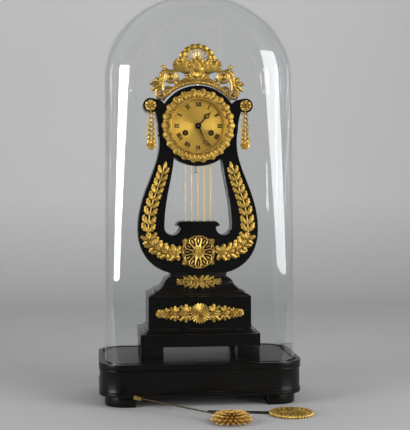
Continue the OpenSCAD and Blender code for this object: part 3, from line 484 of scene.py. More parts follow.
# %% Mix the wax and cut the letters
wax = Finish("black_wax", Roughness=0.5, Specular_IOR_Level=0.2)
wax_tone = wax.noise(200, 3)
wax.feed("Base Color", wax.mix(wax_tone, (0.006, 0.005, 0.0045), (0.014, 0.012, 0.010)))
LETTER, WAX = 7.6, 0.14
THICK, THIN = 2.0, 1.2
SERIF = 0.9
# For each stroke: the x of its foot, the x of its head and its width.
STROKES = {
    "I": [(0, 0, THICK)],
    "V": [(0.1, -1.7, THICK), (0.1, 1.7, THIN)],
    "X": [(1.7, -1.7, THICK), (-1.7, 1.7, THIN)],
}


def bar(bm, place, foot, head, width, low=-0.5, high=0.5):
    verts = bmesh.ops.create_cube(bm, size=1)["verts"]
    for vert in verts:
        y = LETTER * (low if vert.co.y < 0 else high)
        lean = foot + (head - foot) * (y / LETTER + 0.5)
        vert.co = (lean + vert.co.x * width, y, WAX * (vert.co.z + 0.5))
    bmesh.ops.transform(bm, matrix=place, verts=verts)


def letter(bm, place, sign):
    for foot, head, width in STROKES[sign]:
        bar(bm, place, foot, head, width)
        if sign != "V":
            bar(bm, place, foot, foot, width + SERIF, -0.5, -0.45)
        bar(bm, place, head, head, width + SERIF, 0.45, 0.5)


print("letters:", ", ".join(STROKES))

# %% Draw the hours
NUMERAL_R, MINUTE_R = 37.4, 43.6
HOUR_MARK, MINUTE_MARK = 0.6, 0.2
WIDTHS = {"I": 2.5, "V": 5.0, "X": 5.0}
hours = bmesh.new()
for hour, numeral in enumerate("XII I II III IIII V VI VII VIII IX X XI".split()):
    width = sum(WIDTHS[sign] for sign in numeral)
    upright = at(turn=-30 * hour) @ at(0, NUMERAL_R)
    cursor = -width / 2
    for sign in numeral:
        letter(hours, upright @ at(cursor + WIDTHS[sign] / 2), sign)
        cursor += WIDTHS[sign]
for minute in range(60):
    mark = at(turn=-6 * minute) @ at(0, MINUTE_R)
    bar(hours, mark, 0, 0, HOUR_MARK if minute % 5 == 0 else MINUTE_MARK, -0.1, 0.1)
piece("dial_numerals", hours, wax.material, "clock", place=front(0, DIAL_Z, DIAL_FACE))

# %% [markdown]
# ## A cast leaf
# Most of the gilt ornament is leaves. They could be sculpted one by one, but a function that takes
# length, width and lobes draws hundreds of them in one hand. A grid is bent to the leaf's outline,
# its middle is raised to a rib, and its rim is pulled down to a flat back. Each point also stores how
# hollow it lies, for the dirt and the painted shade of the gilding.


# %% Shape a leaf
def kept(geometry, kind):
    return [part for part in geometry if isinstance(part, kind)]


def leaf(bm, place, length, width, height, lobes=3, cut=0.3, curl=0.0, belly=0.8, sweep=0.0, blunt=0.75):
    """A cast leaf along +x with a raised rib, lobed sides and a flat back; sweep bends it in plan."""
    hollow = bm.verts.layers.float.get("hollow") or bm.verts.layers.float.new("hollow")
    grid = bmesh.ops.create_grid(bm, x_segments=4 * lobes + 2, y_segments=6, size=0.5)["verts"]
    for vert in grid:
        along, across = vert.co.x + 0.5, 2 * vert.co.y
        notch = 1 - abs(math.sin(math.pi * (lobes * along - 0.6 * abs(across)))) ** 0.8 if lobes > 1 else 0
        outline = 0.1 + 0.9 * math.sin(math.pi * (0.04 + 0.93 * along) ** belly) ** blunt
        half = 0.5 * width * outline * (1 - cut * notch * abs(across))
        swell = 0.45 + 0.55 * math.sin(math.pi * min(1, 0.1 + along) ** 0.7)
        rib = 1 - 0.5 * abs(across) ** 1.4 - 0.34 * notch * abs(across) ** 0.7
        rise = height * swell * rib + curl * along ** 3
        vert.co = (length * along, across * half + sweep * along ** 2, rise)
        # Darker at the rim, in the notches and at the foot: dirt and painted shade for the gilding.
        dirt_and_painted_shade = 0.75 * across ** 4 + 0.75 * notch * abs(across) + 0.5 * (1 - along) ** 3
        vert[hollow] = min(1, width / 9) * min(1, dirt_and_painted_shade)
    edges = {edge for vert in grid for edge in vert.link_edges if edge.is_boundary}
    skirt = bmesh.ops.extrude_edge_only(bm, edges=list(edges))["geom"]
    low = kept(skirt, bmesh.types.BMVert)
    for vert in low:
        vert.co.z = 0
        vert[hollow] = 1
    rim = [edge for edge in kept(skirt, bmesh.types.BMEdge) if edge.is_boundary]
    bmesh.ops.contextual_create(bm, geom=rim)
    bmesh.ops.transform(bm, matrix=place, verts=grid + low)


print("leaf ready")

# %% [markdown]
# ## Turned work and beads
# The patterns for rims, bosses and vases came from a lathe. A cylinder could be cut down ring by ring,
# but a profile that is spun round an axis follows the turner's own template. A bead is a small ball
# that is sunk into what carries it.


# %% Spin a profile
def turned(bm, profile, steps, place=Matrix.Identity(4)):
    """Spins a profile of (radius, height) points round the z axis of place."""
    line = [bm.verts.new((r, 0, z)) for r, z in profile]
    edges = [bm.edges.new(ends) for ends in zip(line, line[1:])]
    before = set(bm.verts) - set(line)
    bmesh.ops.spin(bm, geom=line + edges, cent=(0, 0, 0), axis=(0, 0, 1), angle=2 * math.pi,
                   steps=steps, use_merge=True)
    fresh = [vert for vert in bm.verts if vert not in before]
    bmesh.ops.remove_doubles(bm, verts=fresh, dist=1e-4)
    fresh = [vert for vert in bm.verts if vert not in before]
    bmesh.ops.transform(bm, matrix=place, verts=fresh)


def bead(bm, place, r, fine=2):
    bmesh.ops.create_icosphere(bm, subdivisions=fine, radius=r, matrix=place)


print("turned and bead ready")

# %% [markdown]
# ## The leaf bezel
# The bezel is one casting: a plain inner moulding with a ring of beads, a flat flange and a wreath
# of ruffled leaves that widen to the rim. Leaves in two heights overlap, which gives the scalloped
# outline, and three narrow leaves on each big one stand for its folds. A sculpted ring could look
# the same, but single leaves can still be moved and counted.

# %% Cast the bezel
FRONT_Y = 21.0
LEAVES = 22
BEZEL = [
    (47.5, -9), (47.5, -0.5), (45.7, -0.5), (45.7, 5.2), (46.3, 6), (47.6, 6.1), (48.4, 5.4),
    (48.8, 4.2), (50, 3.2), (59.5, 1.6), (59.5, 0), (51.6, 0), (51.6, -9), (47.5, -9),
]
bezel = bmesh.new()
turned(bezel, BEZEL, 96)
for step in range(LEAVES):
    spoke = at(turn=360 * step / LEAVES)
    between = at(turn=360 * (step + 0.5) / LEAVES)
    leaf(bezel, between @ at(50), 11.6, 10, 4.2, belly=1.5, blunt=0.5)
    leaf(bezel, spoke @ at(49.2, 0, 0.6), 14.8, 14.5, 5.0, lobes=5, curl=-0.4, belly=1.4, blunt=0.55)
    leaf(bezel, spoke @ at(50.5, 0, 2.6), 10, 3.6, 3.4, lobes=2, cut=0.2, curl=-0.8)
    for side in (-1, 1):
        fold = spoke @ at(51, side * 2, 1.8, side * 26)
        leaf(bezel, fold, 10.5, 4.4, 3.2, cut=0.25, curl=-0.8, belly=1.3)
for step in range(60):
    bead(bezel, Matrix.Translation(polar(49.6, 6 * step) + Vector((0, 0, 3.6))), 0.9, fine=1)
piece("bezel_cast", bezel, bezel_gilt, "clock", ["bezel"], front(0, DIAL_Z, FRONT_Y))

# %% [markdown]
# ## Stems and flowers
# A stem is a round bar along a line of points. A curve with a bevel could make it, but a circle that
# is extruded from point to point stays in one mesh with the leaves on it. A flower is two rows of
# leaves with one lobe each, on a thin disc round a domed button.


# %% Draw a stem
def stem(bm, points, radii, sides=8, flat=1.0, place=None):
    """A round bar along points; radii runs from its first to its last value."""
    made = bmesh.ops.create_circle(bm, cap_ends=True, segments=sides, radius=1)["verts"]
    every = list(made)
    edges = list({edge for vert in made for edge in vert.link_edges})
    last = Matrix.Identity(4)
    for index, point in enumerate(points):
        ahead = points[min(index + 1, len(points) - 1)] - points[max(index - 1, 0)]
        ahead.normalize()
        side = Vector((0, 0, 1)).cross(ahead).normalized()
        up = ahead.cross(side)
        r = radii[0] + (radii[1] - radii[0]) * index / (len(points) - 1)
        here = Matrix((side * r, up * r * flat, ahead)).transposed().to_4x4()
        here.translation = point
        if index:
            grown = bmesh.ops.extrude_edge_only(bm, edges=edges)["geom"]
            made = kept(grown, bmesh.types.BMVert)
            every += made
            edges = [edge for edge in kept(grown, bmesh.types.BMEdge) if edge.is_boundary]
        bmesh.ops.transform(bm, matrix=here @ last.inverted(), verts=made)
        last = here
    bmesh.ops.contextual_create(bm, geom=edges)
    if place is not None:
        bmesh.ops.transform(bm, matrix=place, verts=every)


print("stem ready")


# %% Draw a button and a rosette
def boss(bm, place, r, h):
    """A domed button with a sunk ring round it."""
    shares = [(1, 0), (1, 0.45), (0.82, 0.6), (0.7, 0.5), (0.5, 0.8), (0.25, 0.97), (0, 1)]
    turned(bm, [(r * out, h * up) for out, up in shares], 16, place)


def rosette(bm, place, r, h, petals):
    """Two rows of petals on a thin disc round a domed middle."""
    width = 2.0 * math.pi * r / petals * 0.62
    for step in range(petals):
        inner = place @ at(turn=360 * step / petals)
        outer = place @ at(turn=360 * step / petals + 180 / petals)
        leaf(bm, outer, r, width, h * 0.55, lobes=1, belly=2.2, blunt=0.5)
        leaf(bm, inner, r * 0.74, width * 0.8, h * 0.85, lobes=1, curl=-h * 0.2, belly=2.0, blunt=0.5)
    turned(bm, [(r * 0.86, 0), (r * 0.86, h * 0.2), (r * 0.3, h * 0.5), (0, h * 0.5)], 24, place)
    boss(bm, place, r * 0.3, h)


print("boss and rosette ready")

# %% [markdown]
# ## Rosettes and drops on the ears
# Each ear has a rosette: seven petals round a ring, with beads between their tips. A drop of husks
# hangs from it: tiers of two side leaves and a narrow middle leaf on one stem, wider towards the
# bottom, and a second rosette at the end. The tiers come from one loop, so that the drop widens evenly.

# %% Cast rosettes and drops
EAR_X, EAR_Z = 83.0, 511.8
EAR_PETALS, TIERS = 7, 7
ears = bmesh.new()
for side in (-1, 1):
    ear = at(side * EAR_X, EAR_Z)
    for step in range(EAR_PETALS):
        petal = ear @ at(turn=90 + 360 * step / EAR_PETALS)
        leaf(ears, petal @ at(2), 7.6, 6.6, 4.6, lobes=1, belly=2.8, blunt=0.4)
        bead(ears, petal @ at(turn=180 / EAR_PETALS) @ at(8.2, 0, 1), 1.3, fine=1)
    turned(ears, [(2.0, 0), (2.0, 3.6), (3.1, 5), (4.2, 3.6), (4.2, 0)], 24, ear)
    bead(ears, ear @ at(0, 0, 3.2), 1.4)
piece("ear_rosette_pair", ears, mount_gilt, "clock", ["ear_rosettes"], front(0, 0, FRONT_Y))
for name, side in (("left_drop", -1), ("right_drop", 1)):
    drop = bmesh.new()
    stem(drop, [Vector((0, y, 1)) for y in (-8, -34, -62)], (1.1, 1.3))
    for tier in range(TIERS):
        size = 0.68 + 0.07 * tier
        low = at(0, -9 - 7.6 * tier)
        for way in (-1, 1):
            hanging = low @ at(way, turn=-90 + way * 42)
            leaf(drop, hanging, 11.5 * size, 5.2 * size, 3.2, lobes=2, belly=1.1, sweep=-way * 3 * size)
            bead(drop, low @ at(way * 8.2 * size, -0.5, 1.4), 1.2, fine=1)
        leaf(drop, low @ at(0, 0, 0.6, -90), 6.4, 3 * size, 3.4, lobes=1)
    rosette(drop, at(0, -66), 9, 5, 9)
    piece(name + "_cast", drop, mount_gilt, "clock", [name],
          front(side * (EAR_X - 1), EAR_Z - 3, FRONT_Y))

# %% [markdown]
# ## Sprays and bends
# Branches and scrolls follow smooth bends. Points could be read off by eye, but four of them and a
# weighted sum give an even line. The broad leaves on them are sprays: fans of blunt lobes that overlap
# at the foot, which look more like chased leaves than one large leaf does.


# %% Bend a line and fan a spray
def bend(start, leave, arrive, end, count):
    """Points along a smooth bend from start to end; the other two points pull it their way."""
    points = []
    for step in range(count + 1):
        share = step / count
        rest = 1 - share
        weights = (rest ** 3, 3 * rest * rest * share, 3 * rest * share * share, share ** 3)
        pulls = zip(weights, (start, leave, arrive, end))
        points.append(sum((weight * Vector((*point, 0)) for weight, point in pulls), Vector()))
    return points


def spray(bm, place, size, height, leans=(-76, -38, 76, 38, 0), broad=0.44):
    """One round leaf made of a fan of blunt lobes."""
    for lean in leans:
        reach = size * (1 - 0.3 * abs(lean) / 76)
        lobe = place @ at(0, 0, 0.3, lean)
        leaf(bm, lobe, reach, broad * size, height, lobes=2, cut=0.2, belly=1.6, blunt=0.5)


print("bend and spray ready")

# %% [markdown]
# ## Garlands on the arms
# A laurel branch climbs each arm: pairs of leaves on one stem with berries between them, larger
# towards the bowl. Round the bowl the leaves turn to three-lobed sprays, and a rosette closes the
# branch. Leaves are turned to the branch at each point, so one loop dresses the whole bend, and the
# left branch is the right one mirrored. The path repeats the one in the CAD source.

# %% Cast the garlands
BOWL_Z, LYRE_Z = 296.0, 220.0
upper = bend((60, DIAL_Z - 72), (66, DIAL_Z - 104), (84, BOWL_Z + 52), (87, BOWL_Z + 9), 8)
lower = bend((88, BOWL_Z - 4), (87, BOWL_Z - 26), (66, LYRE_Z + 34), (40, LYRE_Z + 35), 5)
branch = upper + lower
last = len(branch) - 1
for name, mirrored in (("left_garland", -1), ("right_garland", 1)):
    garland = bmesh.new()
    stem(garland, [point + Vector((0, 0, 1)) for point in branch], (0.9, 1.5))
    for step in range(1, last + 1):
        along = branch[step] - branch[step - 1]
        heading = math.degrees(math.atan2(along.y, along.x)) + 180
        spot = at(branch[step].x, branch[step].y, 0, heading)
        size = 0.84 + 0.36 * (step / last)
        for side in (-1, 1):
            if step <= len(upper):
                outward = spot @ at(0, side * 1.2, 0, side * 46)
                length, width = 16.5 * size, 10 * size
                leaf(garland, outward, length, width, 4, cut=0.34, belly=1.2, sweep=-side * 4, blunt=0.5)
            else:
                spray(garland, spot @ at(-2, side * 1.5, 0, side * 52), 16, 4, (-62, 62, 0), 0.54)
                leaf(garland, spot @ at(0, side, 1, side * 16), 11, 4.6, 3.8)
        bead(garland, spot @ at(3, 0, 1.6), 1.5, fine=1)
    tip = branch[0]
    leaf(garland, at(tip.x - 0.6, tip.y - 3, 0, 104), 13, 7.4, 3.4)
    rosette(garland, at(branch[last].x + 2, branch[last].y, 1.0), 9.5, 5, 9)
    if mirrored < 0:
        bmesh.ops.scale(garland, vec=(-1, 1, 1), verts=garland.verts)
    piece(name + "_cast", garland, mount_gilt, "clock", [name], front(0, 0, FRONT_Y))

# %% [markdown]
# ## The pierced medallion
# The bowl carries an openwork wheel: a thin round rim, a star-shaped hub and twelve petal loops that
# touch both. Holes cut in a plate would leave flat bars, so each loop is one bent stem with a small
# leaf inside. Four sprays and two beads sit outside the rim.

# %% Cast the medallion
MEDAL_Z = LYRE_Z + 36.5
PETALS = 12
RIM = [(26.8, 0), (26.8, 2.2), (27.5, 3.2), (28.5, 3.2), (29.2, 2.2), (29.2, 0), (26.8, 0)]
medal = bmesh.new()
turned(medal, RIM, 72)
side_line = [(8, 0.9), (12, 2.4), (16, 3.9), (20, 5.0), (23.4, 4.8), (25.6, 2.8), (26.4, 1.0)]
loop = [Vector((x, y, 1.5)) for x, y in side_line]
loop += [Vector((x, -y, 1.5)) for x, y in reversed(side_line)]
for step in range(PETALS):
    spoke = at(turn=360 * step / PETALS)
    stem(medal, loop, (0.95, 0.95), sides=6, flat=1.4, place=spoke)
    leaf(medal, spoke @ at(0, 0, 0.6), 11, 3.4, 4.2, lobes=1, belly=1.2)
    leaf(medal, spoke @ at(15, 0, 0.4), 9, 3.2, 3, lobes=1, belly=1.2)
for sprig in (38, 142, 218, 322):
    spray(medal, at(turn=sprig) @ at(27.5), 7.6, 3.2)
for x in (-32, 32):
    bead(medal, at(x, 0, 1.5), 2.4)
boss(medal, at(0, 0, 2), 4.4, 4.2)
piece("medallion_cast", medal, mount_gilt, "clock", ["lyre_medallion"],
      front(0, MEDAL_Z, FRONT_Y))

# %% [markdown]
# ## The mount on the cap
# A stem leaves a middle flower to the left and right. It carries pairs of leaves, a hoop with a small
# flower in it and three leaves at the end. One side is drawn twice, the second time turned round.
# The cap's front is curved, so the mount leans back with it.


# %% Cast the cap mount
def pair(bm, place, x, lean, length, width, height, sweep):
    """Two leaves that leave the stem at x, one up and one down."""
    for side in (-1, 1):
        outward = place @ at(x, side * 0.8, 0, side * lean)
        leaf(bm, outward, length, width, height, cut=0.26, belly=1.3, sweep=-side * sweep, blunt=0.5)


FLIP = Matrix.Rotation(math.pi, 4, "Z")
CAP_Z, CAP_FRONT, CAP_LEAN = 205.0, 30.73, 27.32
cap = bmesh.new()
for way in (Matrix.Identity(4), FLIP):
    stem(cap, [Vector((x, 0, 1)) for x in (6, 20, 36)], (1.2, 1.0), place=way)
    hoop = [Vector((20, 0, 1.4)) + polar(7.2, 24 * step) for step in range(16)]
    stem(cap, hoop, (1.2, 1.2), place=way)
    rosette(cap, way @ at(20, 0, 0.6), 3.6, 3.2, 6)
    pair(cap, way, 2, 74, 12.5, 6.4, 3.2, 2)
    pair(cap, way, 7, 60, 14.5, 6, 3.2, 3)
    pair(cap, way, 15, 50, 14, 5.6, 3.2, 3)
    pair(cap, way, 25, 34, 11, 5.2, 3, 2.6)
    for lean in (-38, 0, 38):
        leaf(cap, way @ at(31, 0, 0.3, lean), 9.5, 5.4, 3.2, lobes=2)
rosette(cap, at(0, 0, 0.5), 8, 4.6, 8)
cap_place = front(0, CAP_Z, CAP_FRONT) @ Matrix.Rotation(-math.radians(CAP_LEAN), 4, "X")
# The cap mount's gilding is painted darker as shade.
piece("cap_mount_cast", cap, shaded_cap_gilt, "clock", ["cap_mount"], cap_place)

# %% [markdown]
# ## The mount on the block
# The larger mount has sprays and beads on its stem and a rosette at each end. In the middle sits a
# full flower: four rows of petals, each row smaller and higher than the one outside it. A rosette of
# two rows would look too flat at this size.

# %% Cast the block mount
BLOCK_Z, BLOCK_FRONT = 153.0, 52.0
# For each row of petals: its radius, its number of petals and its height.
FLOWER_ROWS = [(17.4, 22, 0.6), (13.2, 18, 1.6), (9.4, 14, 2.6), (6, 9, 3.4)]
block = bmesh.new()
for way in (Matrix.Identity(4), FLIP):
    stem(block, [Vector((x, 0, 1.2)) for x in (12, 36, 66)], (1.7, 1.2), place=way)
    for x, lean, size in ((22, 42, 16.5), (41, 38, 13.5), (56, 34, 9.5)):
        for side in (-1, 1):
            spray(block, way @ at(x, side * 1.6, 0, side * lean), size, 3.8)
            bead(block, way @ at(x - 3.4, side * 5.4, 1), 1.7, fine=1)
    for x in (20, 34, 50):
        leaf(block, way @ at(x, 0, 0.8), 9, 3.8, 3.4, lobes=2)
    rosette(block, way @ at(69, 0), 7.3, 4.2, 8)
for r, count, rise in FLOWER_ROWS:
    for step in range(count):
        petal = at(0, 0, rise, 360 * step / count + 7 * rise)
        leaf(block, petal, r, 5.2 * r / count, 4.2, lobes=1, belly=2.8, blunt=0.5)
boss(block, at(0, 0, 3.4), 3.2, 3.4)
piece("block_mount_cast", block, mount_gilt, "clock", ["block_mount"],
      front(0, BLOCK_Z, BLOCK_FRONT))

# %% [markdown]
# ## The crest's arc
# The crest takes the most skill: a basket of flowers stands under a pierced fan, and scrolls with
# leaves run down both sides to an arc that follows the head. It is flat behind, because the back
# was filed and never seen. The arc comes first: a round bar with small leaves that lean to its top,
# and three short bars that join it to the head.

# %% Start the crest
CREST_T = 3.0
ARC_R = 75
crest = bmesh.new()
lift = Vector((0, 0, CREST_T / 2))
stem(crest, [polar(ARC_R, 37 + 3.55 * step) + lift for step in range(31)], (1.6, 1.6), flat=0.95)
for step in range(32):
    turn = 38 + 3.4 * step
    lean = 44 if turn < 90 else -44
    leaf(crest, at(*polar(ARC_R - 0.4, turn).to_2d(), 0, turn + lean), 9.5, 5.4, 4.2, lobes=2)
for spoke in (50, 90, 130):
    stem(crest, [polar(70.2, spoke) + lift, polar(ARC_R, spoke) + lift], (1.5, 1.5), flat=0.9)
print("arc with", len(crest.faces), "faces")

# %% [markdown]
# ## The crest's fan
# A spun rim would have no lobes, so the fan's rim is a grid that is bent round: its columns follow the
# arch, its rows swell to lobes, and a skirt closes it down to the back. Ten ribs with a leaf at the
# end run out to it.

# %% Add the fan
FAN = Vector((0, 110, 0))
FAN_START, FAN_SWING, FAN_LOBES = 8, 164, 8.5
FAN_IN, FAN_BAND, FAN_SCALLOP = 24.8, 8, 1.8
fan_rim = bmesh.ops.create_grid(crest, x_segments=150, y_segments=8, size=0.5)["verts"]
for vert in fan_rim:
    turn, share = FAN_START + FAN_SWING * (vert.co.x + 0.5), vert.co.y + 0.5
    lobe = abs(math.cos(math.radians(turn * FAN_LOBES)))
    r = FAN_IN + share * (FAN_BAND + FAN_SCALLOP * lobe)
    arch = 3.0 * math.sin(math.pi * (0.1 + 0.8 * share)) * (0.55 + 0.45 * lobe)
    vert.co = FAN + polar(r, turn) + Vector((0, 0, 1.6 + arch))
rim_edges = list({edge for vert in fan_rim for edge in vert.link_edges if edge.is_boundary})
skirt = bmesh.ops.extrude_edge_only(crest, edges=rim_edges)["geom"]
for vert in kept(skirt, bmesh.types.BMVert):
    vert.co.z = 0
for step in range(10):
    rib = at(FAN.x, FAN.y, 0, 18 + 16 * step)
    stem(crest, [Vector((x, 0, 1.5)) for x in (8, 17, 26)], (1.3, 1.0), sides=6, flat=1.1, place=rib)
    leaf(crest, rib @ at(19.5, 0, 0.4), 7, 3.4, 3.2, lobes=1)
print("arc and fan with", len(crest.faces), "faces")

# %% [markdown]
# ## The crest's flower basket
# The basket is a turned vase, squeezed to half its depth so that it grows out of the plate. Seven
# leaves fan up its front and seven spread below. The flowers are rosettes, largest in the middle.

# %% Add the basket
VASE = [
    (0, 0), (6.5, 0), (7.6, 1.6), (5.6, 3.4), (5.2, 5), (9, 8),
    (13, 12), (15, 18), (16.4, 20), (15.2, 22), (0, 22),
]
# For each flower: its x, its y and its radius.
FLOWERS = [
    (0, 107, 7.5), (-9.5, 105, 6), (9.5, 105, 6), (-5.5, 113, 5.6), (5.5, 113, 5.6), (0, 118.5, 5),
    (-13.5, 110.5, 4.6), (13.5, 110.5, 4.6), (-15.5, 103.5, 4), (15.5, 103.5, 4),
]
squat = Matrix.Scale(0.5, 4, (0, 0, 1)) @ Matrix.Rotation(-math.pi / 2, 4, "X")
turned(crest, VASE, 24, at(0, 80, 0.6) @ squat)
for step in range(7):
    leaf(crest, at(0, 84, 4.6, 42 + 16 * step), 17, 5.4, 3.6, lobes=2, cut=0.2)
    leaf(crest, at(0, 87, 0, -168 + 26 * step), 13 - 1.2 * abs(step - 3), 6, 4, lobes=2, cut=0.25)
for x, y, r in FLOWERS:
    rosette(crest, at(x, y, 2.8), r, 4.6, 6)
print("arc, fan and basket with", len(crest.faces), "faces")

# %% [markdown]
# ## The crest's scrolls
# Each side has two round scrolls with a boss in them, four bent stems, many leaves and a few beads.
# They are listed once and drawn twice, the second time mirrored.

# %% List the scrolls
# For each stem: its bend and its first and last radius.
SCROLL_STEMS = [
    (bend((30, 97), (38, 96), (42, 97), (47, 94.6), 6), (2.4, 1.8)),
    (bend((52, 95.5), (55, 97), (57, 100), (59, 102), 4), (1.6, 1.4)),
    (bend((56, 84), (60, 78), (62, 72), (60, 61), 6), (2.2, 1.8)),
    (bend((6, 80), (18, 80), (26, 76), (34, 72), 6), (2.4, 1.8)),
]
# For each leaf: its x, its y, its turn, its length, its width and its sweep.
SCROLL_LEAVES = [
    (8, 93, 60, 37, 9, 2), (9, 94, 50, 36, 10, 1), (10, 94, 40, 36, 10, 0), (11, 94, 31, 36, 10, 0),
    (11, 94, 22, 35, 10, 0), (13, 94, 13, 31, 8, 0), (22, 112, 52, 14, 9, 2), (28, 107, 34, 12, 9, 1),
    (49, 96, 14, 14, 9, -4), (54, 97, -38, 19, 12, -4), (61, 89, -70, 19, 12, -3),
    (62, 80, -74, 17, 11, 2), (64, 75, 2, 19.5, 9, -2), (65, 76, 38, 13, 8, 2), (67, 73, -34, 18, 9, -2),
    (69, 67, -60, 13, 7, -2), (64, 72, 70, 11, 7, 1), (3, 82, -4, 17, 8, 2), (9, 79, 20, 15, 6, -4),
    (20, 80, -16, 16, 7, -2), (14, 82, 30, 9, 5, 1), (57, 66, 160, 13, 7, 3), (58, 64, -130, 9, 6, 1),
    (0, 79, 4, 20, 7, -2), (38, 84, -150, 12, 7, 2), (40, 80, -108, 11, 7, -2), (4, 81, 52, 16, 10, 0),
    (7, 80, 34, 18, 9, 0), (10, 79, 12, 16, 7, 0),
]
# For each bead: its x, its y and its radius.
SCROLL_BEADS = [
    (59.4, 103.6, 3.5), (59.4, 107.4, 1.6), (55.8, 104, 1.8), (63, 104, 1.8),
    (82, 75.5, 2), (74.5, 83, 2), (80.5, 62.5, 2),
]
print(len(SCROLL_STEMS), "stems,", len(SCROLL_LEAVES), "leaves,", len(SCROLL_BEADS), "beads on each side")


# %% Add the scrolls and finish the crest
def ring(bm, place, r, thick):
    """A closed round bar that stands on the plate."""
    inner, outer = r - thick, r + thick
    turned(bm, [(inner, 0), (inner, 2.4), (r, 4.2), (outer, 2.4), (outer, 0), (inner, 0)], 24, place)


for way in (1, -1):
    flip = Matrix.Scale(way, 4, (1, 0, 0))
    for centre, r, thick in (((47.0, 86.6), 10.4, 2.1), ((64.6, 55.6), 7.6, 1.8)):
        ring(crest, flip @ at(*centre), r, thick)
        boss(crest, flip @ at(*centre), r - 2.8, 5)
    for path, radii in SCROLL_STEMS:
        stem(crest, [point + lift for point in path], radii, place=flip)
    leaf(crest, flip @ at(9, 94, 0, 32), 37, 22, 2.4, lobes=4, cut=0.2, belly=1.2, blunt=0.5)
    for x, y, turn, length, width, sweep in SCROLL_LEAVES:
        spot = flip @ at(x, y, 0, turn)
        leaf(crest, spot, length, width, 4.4, cut=0.26, curl=0.3, belly=0.9, sweep=sweep)
    for x, y, r in SCROLL_BEADS:
        bead(crest, flip @ at(x, y, 2.2), r)
piece("crest_cast", crest, mount_gilt, "clock", ["crest"], front(0, DIAL_Z, 0))

# %% [markdown]
# ## The sunburst bob
# One bob is a sunburst: a domed middle with five rows of pointed rays, steeper towards the top, and a
# rosette on it. A spun profile has no points, so each ray is a narrow leaf that starts on the dome. The
# bob lies on the floor, so it is drawn face up and turned to its rod.

# %% Cast the sunburst
SUN = at(34, -213, 0, 144.8)
# For each row of rays: its height, its tilt, where it starts, its length and its number of rays.
RAYS = [
    (4, 2, 13, 21, 20), (6, -8, 12, 20.5, 20), (8.5, -17, 10, 18.5, 18),
    (10.5, -28, 8, 14, 15), (12, -42, 5, 10, 11),
]
sun = bmesh.new()
turned(sun, [(0, 0), (14, 0), (18, 3), (20, 7), (17, 10), (11, 12.5), (6, 13.6), (0, 14)], 48)
for rise, tilt, start, length, count in RAYS:
    tilted = Matrix.Rotation(math.radians(tilt), 4, "Y")
    for step in range(count):
        ray = at(0, 0, rise, 360 * step / count + 40 * rise) @ at(start) @ tilted
        leaf(sun, ray, length, 4.6, 3.6, lobes=1, belly=0.55)
rosette(sun, at(0, 0, 13.5), 7, 4.5, 8)
piece("sunburst_bob", sun, bob_gilt, "pendulum", ["pendulum_bob"], SUN)

# %% [markdown]
# ## The beaded bob
# The other bob is a flat turned disc with a beaded rim and a chased flower of ten leaves. It lies
# face up too. The beads are single balls that sink into the rim, because a rim with bumps would need
# many more faces.

# %% Cast the beaded bob
SPARE = at(139, -165.5, 0, 168.4)
DISC = [
    (0, 0), (33, 0), (34, 1), (34, 3.6), (31.4, 5), (29.6, 4.2), (28, 3.6), (14, 4.2), (12, 5.4), (0, 5.6),
]
disc = bmesh.new()
turned(disc, DISC, 64)
for step in range(40):
    bead(disc, at(turn=9 * (step + 0.5)) @ at(34.2, 0, 2.9), 2.75)
for step in range(10):
    leaf(disc, at(0, 0, 3.4, 36 * step) @ at(8), 19, 8, 3.4)
    leaf(disc, at(0, 0, 3.2, 36 * step + 18) @ at(13), 13, 5, 2.8, lobes=2)
    for side in (-1, 1):
        bead(disc, at(0, 0, 4, 36 * step + 9 * side) @ at(28.4), 1.5, fine=1)
rosette(disc, at(0, 0, 4.4), 11, 2.2, 10)
piece("beaded_bob", disc, mount_gilt, "spare_pendulum", ["spare_pendulum_bob"], SPARE)

# %% [markdown]
# ## Finishes on the remaining solids
# Wheels, plates, hands, strings and rods already have their real shape, so the solids stay and
# only get a finish. What the list does not name is brass.

# %% Finish the solids
PLAIN = {
    dial_gilt.material: ["dial"],
    blued: ["hour_hand", "minute_hand", "hand_collet", "winding_rims", "strap_screws"],
    steel: ["cannon_pinion", "clicks", "anchor", "crutch", "hammer", "bell_stand"],
    arbor_dark: ["going_winding_arbor", "strike_winding_arbor"],
    bell_metal: ["bell"],
    string_brass: ["lyre_strings"],
    rod_brass: ["pendulum_rod"],
    hook_brass: ["pendulum_hook"],
    bar_dark: ["spare_pendulum_bar"],
}
given = {node: finish for finish, nodes in PLAIN.items() for node in nodes}
for name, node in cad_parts.items():
    node.data.materials.clear()
    node.data.materials.append(given.get(name, brass))
print("finished", len(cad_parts), "solids")

# %% [markdown]
# ## Floor and backdrop
# The photograph has a grey paper sweep. It is one bent strip that ends just in front of the
# pendulums, because more pale paper would mirror in the front of the dome and grey the black wood.
# From behind, the paper is see-through, so that a camera that stands farther back still shows the
# clock.

# %% Hang the paper
PAPER_WIDE, PAPER_FRONT, PAPER_TOP = 8, -0.48, 4
BEND_START, BEND_R = 1.2, 0.8
paper = Finish("paper_sweep", Roughness=0.9)
mottle = paper.noise(3, 3)
height = paper.node("ShaderNodeSeparateXYZ", None, {0: paper.place}, out="Z")
# The paper is painted darker on the floor than up the wall: painted shade on the floor.
tone = paper.ramp(height, (0.0, (0.46, 0.46, 0.465)), (0.3, (0.61, 0.61, 0.615)))
paper.feed("Base Color", paper.mix(0.06 * mottle, tone, (0.2, 0.2, 0.2)))
see_through(paper, 1 - paper.node("ShaderNodeNewGeometry", out="Backfacing"))
sweep = bmesh.new()
line = [(PAPER_FRONT, 0), (BEND_START, 0)]
for angle in range(6, 91, 6):
    sine, cosine = math.sin(math.radians(angle)), math.cos(math.radians(angle))
    line.append((BEND_START + BEND_R * sine, BEND_R - BEND_R * cosine))
line.append((BEND_START + BEND_R, PAPER_TOP))
verts = [sweep.verts.new((-PAPER_WIDE / 2, y, z)) for y, z in line]
edges = [sweep.edges.new(ends) for ends in zip(verts, verts[1:])]
grown = bmesh.ops.extrude_edge_only(sweep, edges=edges)["geom"]
